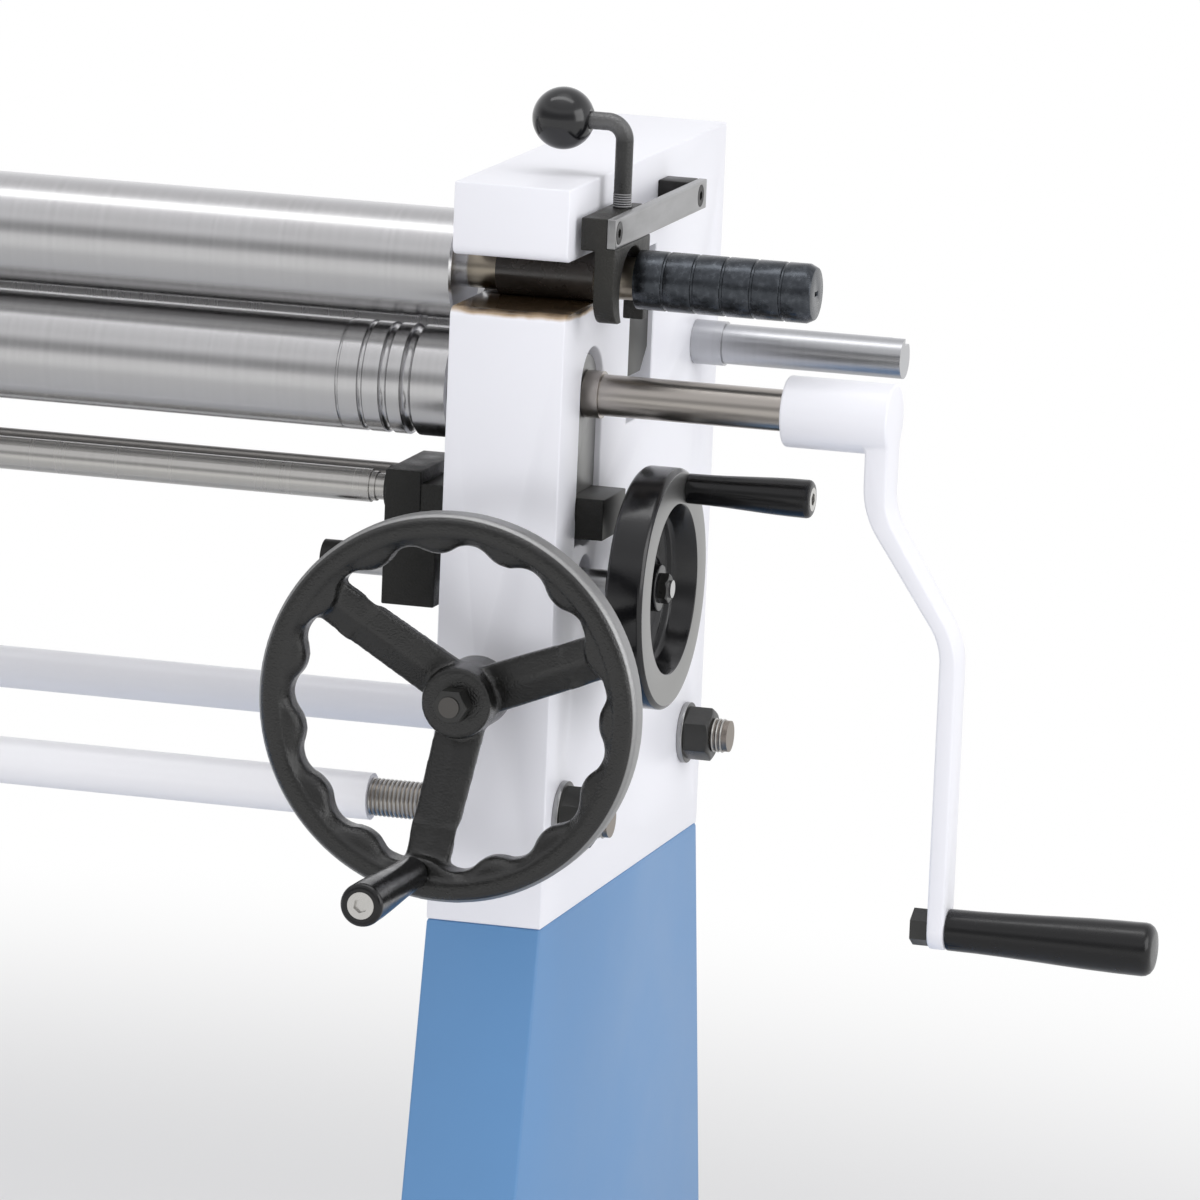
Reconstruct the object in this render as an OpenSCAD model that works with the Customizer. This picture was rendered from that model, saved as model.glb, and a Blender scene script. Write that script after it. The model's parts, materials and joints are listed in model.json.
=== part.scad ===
// Three-roll slip roll machine with a hand crank, on two sheet steel stands.
// X runs along the rolls towards the crank, +Y to the rear, +Z up.
// Origin: on the floor, midway between the stands and midway front to rear.

/* [Frame] */
// Clear width between the two housings
work_w = 1300; // [900:10:1600]
// Thickness of each housing along the rolls
housing_w = 80; // [76:1:92]
// Depth of each housing, front to rear
housing_d = 390; // [380:1:420]
// Height of each housing above its stand
housing_h = 500; // [490:1:540]
// Height of each stand
stand_h = 600; // [450:5:720]
// How far each stand spreads beyond the housing at the floor, front and rear
stand_splay = 110; // [60:5:150]
// Sheet thickness of the stand
stand_sheet = 3; // [2:0.5:5]
// Thickness of the stand's foot plate
foot_t = 10; // [8:1:16]
// Foot plate width beyond each side of the stand
foot_side = 40; // [34:1:60]
// Foot plate length beyond each end of the stand
foot_end = 20; // [10:1:40]
// Floor anchor hole diameter
anchor_d = 14; // [10:0.5:16]
// Anchor hole centre to the long edge of the foot plate
anchor_edge = 18; // [14:1:20]
// Anchor hole centre to the short edge of the foot plate
anchor_end = 45; // [25:1:80]

/* [Rolls] */
// Diameter of all three rolls
roll_d = 75; // [70:1:76]
// Gap between the pinch rolls as set
nip_gap = 5; // [4.6:0.1:6]
// Roll axis behind the front face of the housing
roll_front = 72; // [70:1:76]
// Top roll axis below the top of the housing
top_drop = 66.5; // [64:0.5:70]
// Gap between a roll's end and the housing
roll_end_gap = 11; // [8:0.5:16]
// Rear roll axis behind the pinch rolls
rear_back = 118; // [112:1:126]
// Rear roll axis below the top of the housing
rear_drop = 115; // [113:1:119]
// Journal diameter of the top roll
journal_d = 29; // [26:0.5:30]
// Shaft diameter of the lower roll, rear roll and rear shaft
shaft_d = 28; // [24:0.5:29]
// Collar diameter on the lower roll's shaft
collar_d = 32; // [31:0.5:36]
// Widths of the wire grooves, from the middle outwards
groove_widths = [2, 4, 6, 8];
// Groove pitch along the roll
groove_pitch = 16; // [13:0.5:20]
// Outermost groove centre to the roll's end
groove_end = 29; // [20:1:40]
// Edge chamfer of the rolls
roll_chamfer = 1.5; // [0.5:0.5:3]

/* [Throat and latch] */
// Diameter of the sleeve that carries the top roll's free end
bush_d = 34; // [32:0.5:36]
// Radius of the throat's lips
lip_r = 7; // [3:0.5:9]
// Inner end of the sleeve, from the housing's inner face
bush_in = 14; // [8:1:20]
// Sleeve length beyond the outer face
bush_out = 2; // [1:0.5:3]
// Latch arm thickness along the rolls
arm_t = 6; // [5:0.5:8]
// Latch arm height
arm_h = 20; // [16:1:22]
// Top of the latch below the top of the housing
latch_drop = 19.5; // [18:0.5:21]
// Width of the latch block, from the housing face to the arm
latch_w = 22; // [20:0.5:26]
// Front face of the latch behind the front face of the housing
latch_front = 15; // [12:0.5:17]
// Latch yoke length front to rear
yoke_l = 86; // [84:0.5:88]
// Yoke depth below the top of the arm
yoke_h = 72; // [70:0.5:74]
// Yoke plate thickness along the rolls
yoke_t = 14; // [12:0.5:16]
// Latch pivot behind the yoke's front
pivot_back = 211; // [205:1:218]
// Latch pivot pin diameter
latch_pin_d = 10; // [8:0.5:12]
// Lever rod diameter
lever_d = 12; // [10:0.5:14]
// Lever height from the block to the bend's centre line
lever_h = 57; // [55:0.5:64]
// Lever reach from the upright to the ball's centre
lever_reach = 43; // [40:0.5:50]
// Lever bend radius on the centre line
lever_bend = 12; // [11:0.5:16]
// Ball knob diameter
ball_d = 42; // [36:1:46]
// Pull grip diameter on the top roll
pull_d = 40; // [38:0.5:44]
// Pull grip length
pull_l = 122; // [110:1:140]

/* [Lower roll lift] */
// Width of the lower roll's slot
slot_w = 54; // [52:0.5:56]
// Height of the outside lift block
lift_h = 28; // [24:0.5:30]
// Lift block overhang outside the right housing
lift_out = 19; // [12:0.5:22]
// Lower roll axis down to the lift block's top
lift_drop = 66.5; // [64:0.5:70]
// Upward travel of the lower roll
lift_up = 4.7; // [3:0.1:4.7]
// Downward travel of the lower roll
lift_down = 5; // [3:0.5:6]
// Cross rod diameter
cross_d = 22.4; // [20:0.5:24]
// Second cross rod diameter
cross2_d = 18; // [16:0.5:20]
// Distance between the two cross rods
cross_gap = 45; // [40:1:48]
// Bracket thickness along the rolls
bracket_t = 25; // [22:1:30]
// Gap between the housing and the bracket
bracket_gap = 29; // [24:1:36]
// Bracket length front to rear
bracket_l = 85; // [82:1:90]
// Bracket height
bracket_h = 92; // [88:1:96]
// Side handwheel shaft below the lower roll's axis
side_drop = 127.5; // [126:0.5:130]
// Side handwheel shaft diameter
side_shaft_d = 18; // [14:0.5:20]
// Clearance hole for the side handwheel shaft
side_hole_d = 36; // [34:0.5:38]
// Side handwheel diameter
side_wheel_d = 163; // [150:1:166]
// Side handwheel rim face width
side_rim = 24; // [20:0.5:26]
// Side handwheel rim depth
side_depth = 26; // [22:0.5:28]
// Side handwheel's front face from the housing
side_stand_off = 63; // [58:1:70]
// Side handwheel grip length
side_grip_l = 86; // [78:1:100]
// Side handwheel grip diameter
side_grip_d = 26; // [22:0.5:28]

/* [Front handwheel] */
// Front handwheel diameter
wheel_d = 260; // [250:1:270]
// Rim depth of the front handwheel
wheel_depth = 25; // [20:1:30]
// Mean radial width of the rim
wheel_rim = 24; // [22:0.5:28]
// Wave height of the rim's inner edge
wave_h = 3.5; // [2:0.5:5]
// Number of waves round the rim
wave_n = 15; // [12:3:21]
// Front handwheel's front face from the housing
wheel_stand_off = 110; // [100:1:125]
// Hub diameter of the front handwheel
wheel_hub_d = 48; // [42:1:56]
// Screw diameter of the front handwheel
screw_d = 22; // [18:0.5:24]
// Screw axis below the top of the housing
screw_drop = 334; // [332:1:338]
// Depth of the screw inside the housing
screw_in = 120; // [80:1:150]
// Front handwheel grip length
wheel_grip_l = 110; // [95:1:125]
// Front handwheel grip diameter
wheel_grip_d = 29; // [26:0.5:34]

/* [Rear roll lift] */
// Width of the rear roll's slot
rear_slot_w = 60; // [56:1:64]
// Height of the rear bearing block
rear_block_h = 70; // [66:1:72]
// Upward travel of the rear roll
rear_up = 16; // [8:1:16]
// Downward travel of the rear roll
rear_down = 30; // [20:1:32]
// Chamfer on the rear bearing block
rear_cut = 15; // [8:1:18]

/* [Crank] */
// Lower roll axis to the crank handle's axis
crank_r = 341; // [300:1:360]
// Crank hub diameter
hub_d = 48; // [44:1:54]
// Crank hub length
hub_l = 74; // [60:1:84]
// Lower roll shaft showing between the housing and the crank
shaft_out = 136; // [126:1:150]
// Crank arm width at the hub
crank_w = 34; // [30:1:38]
// Crank arm width at the handle
crank_w2 = 28; // [26:1:32]
// Crank arm thickness at the hub
crank_t = 16; // [14:0.5:20]
// Crank arm thickness at the handle
crank_t2 = 12; // [10:0.5:14]
// Outward step of the crank arm
crank_step = 57; // [50:1:64]
// Start of the step below the lower roll's axis
crank_step_top = 62; // [56:1:80]
// Height of the step
crank_step_h = 84; // [70:1:96]
// Crank handle length
crank_grip_l = 141; // [120:1:150]
// Crank handle diameter at its end
crank_grip_d = 36; // [32:1:40]

/* [Ties and rear shaft] */
// Tie tube diameter, front
tie_d = 32; // [29:0.5:36]
// Tie tube diameter, rear
tie2_d = 30; // [28:0.5:34]
// Stud diameter, front
stud_d = 24; // [20:0.5:26]
// Stud diameter, rear
stud2_d = 22; // [18:0.5:23]
// Bare stud between a tube's end and the housing
stud_bare = 53; // [30:1:60]
// Front tie behind the front face
tie_front = 39; // [34:1:46]
// Front tie's height between the stand's top and the screw, as a share
tie_high_share = 0.43; // [0.38:0.01:0.48]
// Rear tie ahead of the rear face
tie2_back = 44; // [38:1:50]
// Rear tie's height between the stand's top and the screw, as a share
tie2_high_share = 0.44; // [0.38:0.01:0.5]
// Rear shaft ahead of the rear face
rear_shaft_back = 58; // [54:1:62]
// Rear shaft below the top of the housing
rear_shaft_drop = 147; // [140:1:154]
// Rear shaft length outside the right housing
rear_shaft_out = 150; // [120:1:170]

/* [Gears] */
// Number of teeth on each roll gear
gear_teeth = 14; // [13:1:15]
// Gear face width
gear_w = 22; // [16:1:26]
// Half thickness of a tooth on the pitch line
tooth_half = 2.4; // [2.2:0.1:2.5]
// Tooth height above the pitch line
tooth_add = 5; // [4.6:0.1:5.1]
// Gear cover sheet
cover_t = 2; // [1.5:0.5:3]
// Free space between the gears and their cover
cover_gap = 6; // [5:0.5:8]

/* [Hidden] */
$fn = 64;

// Clearances and overrun
over = 1;
slide_gap = 0.3;
run_gap = 0.1;
side_gap = 0.2;

// Places worked out from the sizes above
x_in = work_w / 2;
x_out = x_in + housing_w;
x_mid = x_in + housing_w / 2;
y_front = -housing_d / 2;
y_rear = housing_d / 2;
z_top = stand_h + housing_h;
roll_y = y_front + roll_front;
top_z = z_top - top_drop;
axis_gap = roll_d + nip_gap;
low_z = top_z - axis_gap;
rear_y = roll_y + rear_back;
rear_z = z_top - rear_drop;
roll_l = work_w - 2 * roll_end_gap;
screw_z = z_top - screw_drop;
side_z = low_z - side_drop;
tie_y = y_front + tie_front;
tie_z = stand_h + tie_high_share * (screw_z - stand_h);
tie2_y = y_rear - tie2_back;
tie2_z = stand_h + tie2_high_share * (screw_z - stand_h);
rear_shaft_y = y_rear - rear_shaft_back;
rear_shaft_z = z_top - rear_shaft_drop;
lift_z = low_z - lift_drop - lift_h / 2;
cross_rise = 5;
cross_z = lift_z + cross_rise;
throat_h = bush_d + 2 * slide_gap;

// A cylinder along X that starts at x
module bar_x(x, l, d) translate([x, 0, 0]) rotate([0, 90, 0]) cylinder(d = d, h = l);

// A cylinder along Y that starts at y
module bar_y(y, l, d) translate([0, y, 0]) rotate([-90, 0, 0]) cylinder(d = d, h = l);

// A plane figure drawn in Y and Z, given a thickness along X
module slab_x(x, l) translate([x, 0, 0]) rotate([90, 0, 90]) linear_extrude(l) children();

// Revolves about X a figure drawn as [radius, distance along X]
module turn_x() rotate([0, 90, 0]) rotate_extrude() children();

// Hexagon prism along X, measured across its flats
module hex_x(x, l, flats) translate([x, 0, 0]) rotate([0, 90, 0])
    cylinder(d = flats / cos(30), h = l, $fn = 6);

// Nut along X: a hexagon prism with its outer corners turned off and a bore
nut_face_share = 0.96;
module nut_x(x, l, flats, bore) difference() {
    far_r = flats / 2 / cos(30) + over;
    face_r = nut_face_share * flats / 2;
    intersection() {
        hex_x(x, l, flats);
        turn_x() polygon([[0, x - over], [far_r, x - over], [far_r, x + l - (far_r - face_r) * tan(30)],
            [face_r - over, x + l + over * tan(30)], [0, x + l + over * tan(30)]]);
    }
    bar_x(x - over, l + 2 * over, bore);
}

// Rectangle with rounded corners, centred
module round_rect(w, h, r) {
    square([w - 2 * r, h], center = true);
    square([w, h - 2 * r], center = true);
    for (sx = [-1, 1], sy = [-1, 1])
        translate([sx * (w / 2 - r), sy * (h / 2 - r)]) circle(r);
}

// Foot plate with four anchor holes
foot_l = housing_d + 2 * (stand_splay + foot_end);
foot_w = housing_w + 2 * foot_side;

module foot() difference() {
    translate([x_mid - foot_w / 2, -foot_l / 2, 0]) cube([foot_w, foot_l, foot_t]);
    for (sx = [-1, 1], sy = [-1, 1])
        translate([x_mid + sx * (foot_w / 2 - anchor_edge), sy * (foot_l / 2 - anchor_end), -over])
            cylinder(d = anchor_d, h = foot_t + 2 * over);
}

module foot_right() color([0.46, 0.61, 0.78]) foot();
module foot_left() color([0.46, 0.61, 0.78]) mirror([1, 0, 0]) foot();

// Stand: a hollow sheet steel column, narrow across the machine and spreading
// front and rear towards its foot plate
module stand_side(inset, low, high) {
    rise = stand_h - foot_t;
    function half_y(z) = housing_d / 2 + stand_splay * (stand_h - z) / rise - inset;
    polygon([[-half_y(low), low], [half_y(low), low], [half_y(high), high], [-half_y(high), high]]);
}

module stand() difference() {
    slab_x(x_in, housing_w) stand_side(0, foot_t, stand_h);
    slab_x(x_in + stand_sheet, housing_w - 2 * stand_sheet)
        stand_side(stand_sheet, foot_t - over, stand_h - foot_t);
}

module stand_right() color([0.46, 0.61, 0.78]) stand();
module stand_left() color([0.46, 0.61, 0.78]) mirror([1, 0, 0]) stand();

// Slots and holes that both housings share, drawn in Y and Z
lift_room = lift_down + over;
slot_top = low_z + lift_up + slide_gap;
slot_foot = lift_z - lift_h / 2 - lift_room;
relief_wide = 3;
relief_d = slot_w + relief_wide;
relief_rise = 6;
rear_slot_top = rear_z + rear_block_h / 2 + rear_up + slide_gap;
rear_slot_foot = rear_z - rear_block_h / 2 - rear_down - slide_gap;

module shared_openings() {
    // Lower roll's slot, round at the top and relieved round its lift block
    translate([roll_y - slot_w / 2, slot_foot]) square([slot_w, slot_top - slot_foot]);
    translate([roll_y, slot_top]) circle(d = slot_w);
    translate([roll_y, lift_z + relief_rise]) circle(d = relief_d);
    // Rear roll's slot
    translate([rear_y - rear_slot_w / 2, rear_slot_foot])
        square([rear_slot_w, rear_slot_top - rear_slot_foot]);
    // Side handwheel's shaft, tie studs and rear shaft
    translate([roll_y, side_z]) circle(d = side_hole_d);
    translate([tie_y, tie_z]) circle(d = stud_d + run_gap);
    translate([tie2_y, tie2_z]) circle(d = stud2_d + run_gap);
    translate([rear_shaft_y, rear_shaft_z]) circle(d = shaft_d + run_gap);
}

// What is cut from a lip to round it: a corner square less a disc
module lip_cut() translate([y_front, top_z + throat_h / 2])
    difference() {
        translate([-over, -over]) square([lip_r + over, lip_r + over]);
        translate([lip_r, lip_r]) circle(lip_r);
    }

// Throat, open to the front, that the top roll's free end swings out of
module throat() {
    translate([y_front - over, top_z - throat_h / 2]) square([roll_front + over, throat_h]);
    translate([roll_y, top_z]) circle(d = throat_h);
    lip_cut();
    translate([0, top_z]) mirror([0, 1]) translate([0, -top_z]) lip_cut();
}

module front_screw_bore() translate([x_mid, 0, screw_z])
    bar_y(y_front - over, screw_in + side_gap + over, screw_d + run_gap);

module housing_plate() difference() {
    translate([y_front, stand_h]) square([housing_d, housing_h]);
    shared_openings();
    children();
}

module housing_right() color([0.93, 0.93, 0.96]) difference() {
    slab_x(x_in, housing_w) housing_plate() throat();
    front_screw_bore();
}

// The left housing is closed round the top roll: a ball seat lets the roll swing
swivel_wall = 12.5;
ball_seat_d = journal_d + 2 * swivel_wall;
swing_room = 4.5;
swing_hole_d = journal_d + 2 * swing_room;
stub_d = shaft_d;

module housing_left() color([0.93, 0.93, 0.96]) mirror([1, 0, 0]) difference() {
    slab_x(x_in, housing_w) housing_plate();
    front_screw_bore();
    translate([0, roll_y, top_z]) {
        translate([x_mid, 0, 0]) sphere(d = ball_seat_d + run_gap);
        bar_x(x_in - over, housing_w / 2 + over, swing_hole_d);
        bar_x(x_mid, housing_w / 2 + over, stub_d + run_gap);
    }
}

// Ties: white tubes over long studs, with a washer and a nut outside each housing
washer_t = 4;
nut_h_share = 0.8;
nut_flats_share = 1.5;
washer_d_share = 1.95;
stud_proud = 12;
function nut_h(d) = nut_h_share * d;
function stud_end(d) = x_out + washer_t + nut_h(d) + stud_proud;

module tie_tube(d, bore) difference() {
    bar_x(-(x_in - stud_bare), 2 * (x_in - stud_bare), d);
    bar_x(-x_in, 2 * x_in, bore + run_gap);
}

module tie_tube_front() color([0.93, 0.93, 0.96])
    translate([0, tie_y, tie_z]) tie_tube(tie_d, stud_d);

module tie_tube_rear() color([0.93, 0.93, 0.96])
    translate([0, tie2_y, tie2_z]) tie_tube(tie2_d, stud2_d);

module tie_studs() color([0.62, 0.61, 0.60]) {
    translate([0, tie_y, tie_z]) bar_x(-stud_end(stud_d), 2 * stud_end(stud_d), stud_d);
    translate([0, tie2_y, tie2_z]) bar_x(-stud_end(stud2_d), 2 * stud_end(stud2_d), stud2_d);
}

module washer_and_nut(d) for (side = [0, 1]) mirror([side, 0, 0]) {
    difference() {
        bar_x(x_out, washer_t, washer_d_share * d);
        bar_x(x_out - over, washer_t + 2 * over, d + run_gap);
    }
    nut_x(x_out + washer_t, nut_h(d), nut_flats_share * d, d + run_gap);
}

module tie_nuts() color([0.16, 0.16, 0.16]) {
    translate([0, tie_y, tie_z]) washer_and_nut(stud_d);
    translate([0, tie2_y, tie2_z]) washer_and_nut(stud2_d);
}

// Roll gears on the left, with long teeth so that they stay in mesh as the gap changes
pitch_r = axis_gap / 2;
tip_r = pitch_r + tooth_add;
root_r = axis_gap - lift_up - tip_r - side_gap * 2;
tooth_slope = 0.1;
gear_x = x_out + cover_gap + run_gap;

module tooth() {
    inner = root_r - 2 * over;
    at_root = tooth_half + tooth_slope * (pitch_r - inner);
    at_tip = tooth_half - tooth_slope * (tip_r - pitch_r);
    polygon([[inner, -at_root], [tip_r, -at_tip], [tip_r, at_tip], [inner, at_root]]);
}

// turn is the first tooth's angle; the bore is left closed where the stub is one with the gear
module gear(turn, bore) slab_x(gear_x, gear_w) difference() {
    union() {
        circle(root_r);
        for (i = [0 : gear_teeth - 1]) rotate(turn + i * 360 / gear_teeth) tooth();
    }
    if (bore > 0) circle(d = bore);
}

stub_gap = 1.5;
module top_gear() color([0.45, 0.45, 0.46]) mirror([1, 0, 0]) translate([0, roll_y, top_z]) {
    gear(-90, 0);
    stub_in = sqrt(pow(ball_seat_d / 2, 2) - pow(stub_d / 2, 2)) + stub_gap;
    bar_x(x_mid + stub_in, gear_x + run_gap - x_mid - stub_in, stub_d);
}

module lower_gear() color([0.45, 0.45, 0.46]) mirror([1, 0, 0]) translate([0, roll_y, low_z])
    gear(90 + 180 / gear_teeth, shaft_d + run_gap);

// Gear cover: a five-sided sheet box with a turned-in flange and four screws
cover_x = gear_x + gear_w + cover_gap;
cover_half_w = tip_r + cover_gap + cover_t;
cover_high = top_z + tip_r + cover_gap + cover_t;
cover_low = low_z - lift_room - tip_r - cover_gap - cover_t;
cover_h = cover_high - cover_low;
cover_mid = (cover_high + cover_low) / 2;
cover_r = 14;
flange_w = 12;
cover_screw_d = 10;
cover_screw_h = 4;

module cover_outline(grow) translate([roll_y, cover_mid])
    round_rect(2 * (cover_half_w + grow), cover_h + 2 * grow, cover_r + grow);

module cover_screw_places() for (sy = [-1, 1], sz = [-1, 1])
    translate([roll_y + sy * (cover_half_w + flange_w / 2), cover_mid + sz * cover_h / 4]) children();

module gear_cover() color([0.93, 0.93, 0.96]) mirror([1, 0, 0]) difference() {
    union() {
        slab_x(x_out, cover_x + cover_t - x_out) cover_outline(0);
        slab_x(x_out, cover_t) cover_outline(flange_w);
    }
    slab_x(x_out - over, cover_x - x_out + over) cover_outline(-cover_t);
}

module cover_screws() color([0.3, 0.3, 0.3]) mirror([1, 0, 0])
    slab_x(x_out + cover_t, cover_screw_h) cover_screw_places() circle(d = cover_screw_d);

// Rolls
function groove_at(i) = roll_l / 2 - groove_end - groove_pitch * (len(groove_widths) - 1 - i);

module roll_body(grooved) {
    r = roll_d / 2;
    c = roll_chamfer;
    difference() {
        turn_x() polygon([[0, -roll_l / 2], [r - c, -roll_l / 2], [r, -roll_l / 2 + c],
            [r, roll_l / 2 - c], [r - c, roll_l / 2], [0, roll_l / 2]]);
        if (grooved) for (i = [0 : len(groove_widths) - 1])
            turn_x() translate([r, groove_at(i)]) circle(d = groove_widths[i]);
    }
}

pull_gap = 2;
pull_end_wall = 10;
pull_x = x_out + latch_w + arm_t + pull_gap;
journal_end = pull_x + pull_l - pull_end_wall;
swivel_flat = 18;

module top_roll() color([0.66, 0.66, 0.67]) translate([0, roll_y, top_z]) {
    roll_body(false);
    bar_x(roll_l / 2 - over, journal_end - roll_l / 2 + over, journal_d);
    bar_x(-x_mid - swivel_flat, x_mid + swivel_flat - roll_l / 2 + over, journal_d);
}

module top_bush() color([0.17, 0.16, 0.15]) translate([0, roll_y, top_z]) difference() {
    bar_x(x_in + bush_in, housing_w - bush_in + bush_out, bush_d);
    bar_x(x_in, housing_w + 2 * bush_out, journal_d + run_gap);
}

module top_swivel() color([0.5, 0.42, 0.25]) translate([-x_mid, roll_y, top_z]) difference() {
    intersection() {
        sphere(d = ball_seat_d);
        translate([-swivel_flat, -ball_seat_d / 2, -ball_seat_d / 2])
            cube([2 * swivel_flat, ball_seat_d, ball_seat_d]);
    }
    bar_x(-swivel_flat - over, 2 * (swivel_flat + over), journal_d + run_gap);
}

// Pull grip: rings between grooves, a chamfered end and a small slot in it
ring_n = 6;
ring_cut = 1.2;
ring_cut_w = 2;
pull_chamfer = 5;
pull_slot = [3, 8, 3];

module pull_grip() color([0.14, 0.15, 0.16]) translate([0, roll_y, top_z]) difference() {
    turn_x() difference() {
        translate([0, pull_x]) polygon([[0, 0], [pull_d / 2, 0], [pull_d / 2, pull_l - pull_chamfer],
            [(pull_d - pull_chamfer) / 2, pull_l], [0, pull_l]]);
        for (i = [1 : ring_n - 1])
            translate([pull_d / 2 - ring_cut, pull_x + i * pull_l / ring_n - ring_cut_w / 2])
                square([ring_cut + over, ring_cut_w]);
    }
    bar_x(pull_x - over, journal_end + side_gap - pull_x + over, journal_d + run_gap);
    translate([pull_x + pull_l - pull_slot[0], -pull_slot[1] / 2, -pull_slot[2] / 2])
        cube([pull_slot[0] + over, pull_slot[1], pull_slot[2]]);
}

// Latch: an arm on a rear pivot carries a yoke that drops over the top roll's journal
latch_y = y_front + latch_front;
latch_z = z_top - latch_drop;
arm_x = x_out + latch_w;
arm_low = latch_z - arm_h;
pivot_y = latch_y + pivot_back;
pivot_z = latch_z - arm_h / 2;
arm_tail = 14;
pivot_block_l = 24;
yoke_gap = 4;
front_limb = 16;
rear_limb = 11;
rear_limb_more = 5;
notch_d = yoke_l - front_limb - rear_limb;
notch_y = latch_y + front_limb + notch_d / 2;
notch_lower = 6;
notch_z = top_z - notch_lower;
yoke_block_more = 2;
yoke_block_h = arm_h + yoke_block_more;
yoke_round = 18;
screw_hole_d = 15;
screw_hole_deep = 3;
latch_screw_in = 2;
latch_screw_y = latch_y + screw_hole_d / 2 + latch_screw_in;
socket_share = 0.6;
screw_reach = 7;
screw_floor = arm_x + arm_t - screw_hole_deep;
ball_flat_share = 0.46;
lever_in = 15;
lever_back = 59;
lever_x = x_out + lever_in;
lever_y = latch_y + lever_back;
lever_seat = 12;

module latch_block() color([0.3, 0.3, 0.3]) difference() {
    translate([x_out, pivot_y + arm_tail - pivot_block_l, arm_low])
        cube([latch_w - side_gap, pivot_block_l, arm_h]);
    translate([0, pivot_y, pivot_z]) bar_x(x_out + latch_w / 2, latch_w, latch_pin_d + run_gap);
}

module latch_pin() color([0.12, 0.12, 0.12]) translate([0, pivot_y, pivot_z]) {
    bar_x(x_out + latch_w / 2, screw_floor - x_out - latch_w / 2 + over, latch_pin_d);
    difference() {
        bar_x(screw_floor + run_gap, screw_hole_deep - run_gap, screw_hole_d - 2 * run_gap);
        hex_x(screw_floor + over, screw_hole_deep, latch_pin_d * socket_share);
    }
}

module latch_arm() color([0.6, 0.6, 0.6]) difference() {
    translate([arm_x, latch_y, arm_low]) cube([arm_t, pivot_back + arm_tail, arm_h]);
    for (y = [latch_screw_y, pivot_y]) translate([0, y, pivot_z]) {
        bar_x(arm_x - over, arm_t + 2 * over, latch_pin_d + run_gap);
        bar_x(screw_floor, screw_hole_deep + over, screw_hole_d);
    }
}

module latch_screw() color([0.12, 0.12, 0.12]) translate([0, latch_screw_y, pivot_z]) {
    bar_x(arm_x - screw_reach, screw_reach + screw_floor - arm_x + over, latch_pin_d);
    difference() {
        bar_x(screw_floor + run_gap, screw_hole_deep - run_gap, screw_hole_d - 2 * run_gap);
        hex_x(screw_floor + over, screw_hole_deep, latch_pin_d * socket_share);
    }
}

// Yoke outline in Y and Z: a hooked front limb and a straight rear limb round the journal
module yoke_outline() difference() {
    union() {
        translate([latch_y, latch_z - yoke_h]) square([yoke_l, yoke_h]);
        translate([latch_y + yoke_l - rear_limb, latch_z - yoke_h - rear_limb_more])
            square([rear_limb, rear_limb_more + over]);
    }
    translate([notch_y, notch_z]) circle(d = notch_d);
    translate([notch_y, notch_z - notch_d]) square([notch_d / 2, notch_d]);
    translate([notch_y - notch_d / 3, notch_z - notch_d]) square([notch_d / 3 + over, notch_d - yoke_gap]);
    translate([latch_y, latch_z - yoke_h]) difference() {
        translate([-over, -over]) square([yoke_round + over, yoke_round + over]);
        translate([yoke_round, yoke_round]) circle(yoke_round);
    }
}

module latch_yoke() color([0.2, 0.2, 0.19]) difference() {
    union() {
        translate([x_out + yoke_gap, latch_y, latch_z - yoke_block_h])
            cube([latch_w - yoke_gap, yoke_l, yoke_block_h]);
        slab_x(arm_x + arm_t - yoke_t, yoke_t) yoke_outline();
    }
    translate([arm_x, latch_y - over, arm_low]) cube([arm_t + over, yoke_l + 2 * over, arm_h + over]);
    translate([0, latch_screw_y, pivot_z])
        bar_x(arm_x - screw_reach - side_gap, latch_w / 2, latch_pin_d + run_gap);
    translate([lever_x, lever_y, latch_z - lever_seat])
        cylinder(d = lever_d + run_gap, h = lever_seat + over);
}

// Lever: an upright rod, one bend, and a short arm over the housing to the ball
module latch_lever() color([0.22, 0.22, 0.22]) translate([lever_x, lever_y, latch_z]) {
    translate([0, 0, -lever_seat + side_gap])
        cylinder(d = lever_d, h = lever_h - lever_bend + lever_seat - side_gap);
    translate([-lever_bend, 0, lever_h - lever_bend]) rotate([90, 0, 0])
        rotate_extrude(angle = 90) translate([lever_bend, 0]) circle(d = lever_d);
    translate([0, 0, lever_h]) bar_x(-lever_reach, lever_reach - lever_bend, lever_d);
}

module latch_ball() color([0.08, 0.08, 0.08])
    translate([lever_x - lever_reach, lever_y, latch_z + lever_h]) turn_x() difference() {
        intersection() {
            circle(d = ball_d);
            translate([0, -ball_d / 2]) square([ball_d / 2, ball_d / 2 + ball_d * ball_flat_share]);
        }
        translate([0, -side_gap]) square([lever_d / 2 + side_gap, ball_d]);
    }

// Lower roll: its shaft carries the gear on the left and the crank on the right
collar_gap = 1;
block_recess = 4;
collar_l = 11;
crank_x = x_out + shaft_out;
hub_bore_l = hub_l - crank_t / 2;
shaft_end = crank_x + hub_bore_l - side_gap;

module lower_roll() color([0.66, 0.66, 0.67]) translate([0, roll_y, low_z]) {
    roll_body(true);
    bar_x(roll_l / 2 - over, shaft_end - roll_l / 2 + over, shaft_d);
    bar_x(x_out - block_recess + collar_gap, collar_l, collar_d);
    bar_x(-(gear_x + gear_w), gear_x + gear_w - roll_l / 2 + over, shaft_d);
}

// Bearing block: round on top, flat where it stands on the lift block
module lower_block() {
    block_w = slot_w - 2 * slide_gap;
    difference() {
        slab_x(x_in, housing_w - block_recess) translate([roll_y, low_z]) {
            circle(d = block_w);
            translate([-block_w / 2, -lift_drop]) square([block_w, lift_drop]);
        }
        translate([0, roll_y, low_z]) bar_x(x_in - over, housing_w + 2 * over, shaft_d + run_gap);
    }
}

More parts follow.
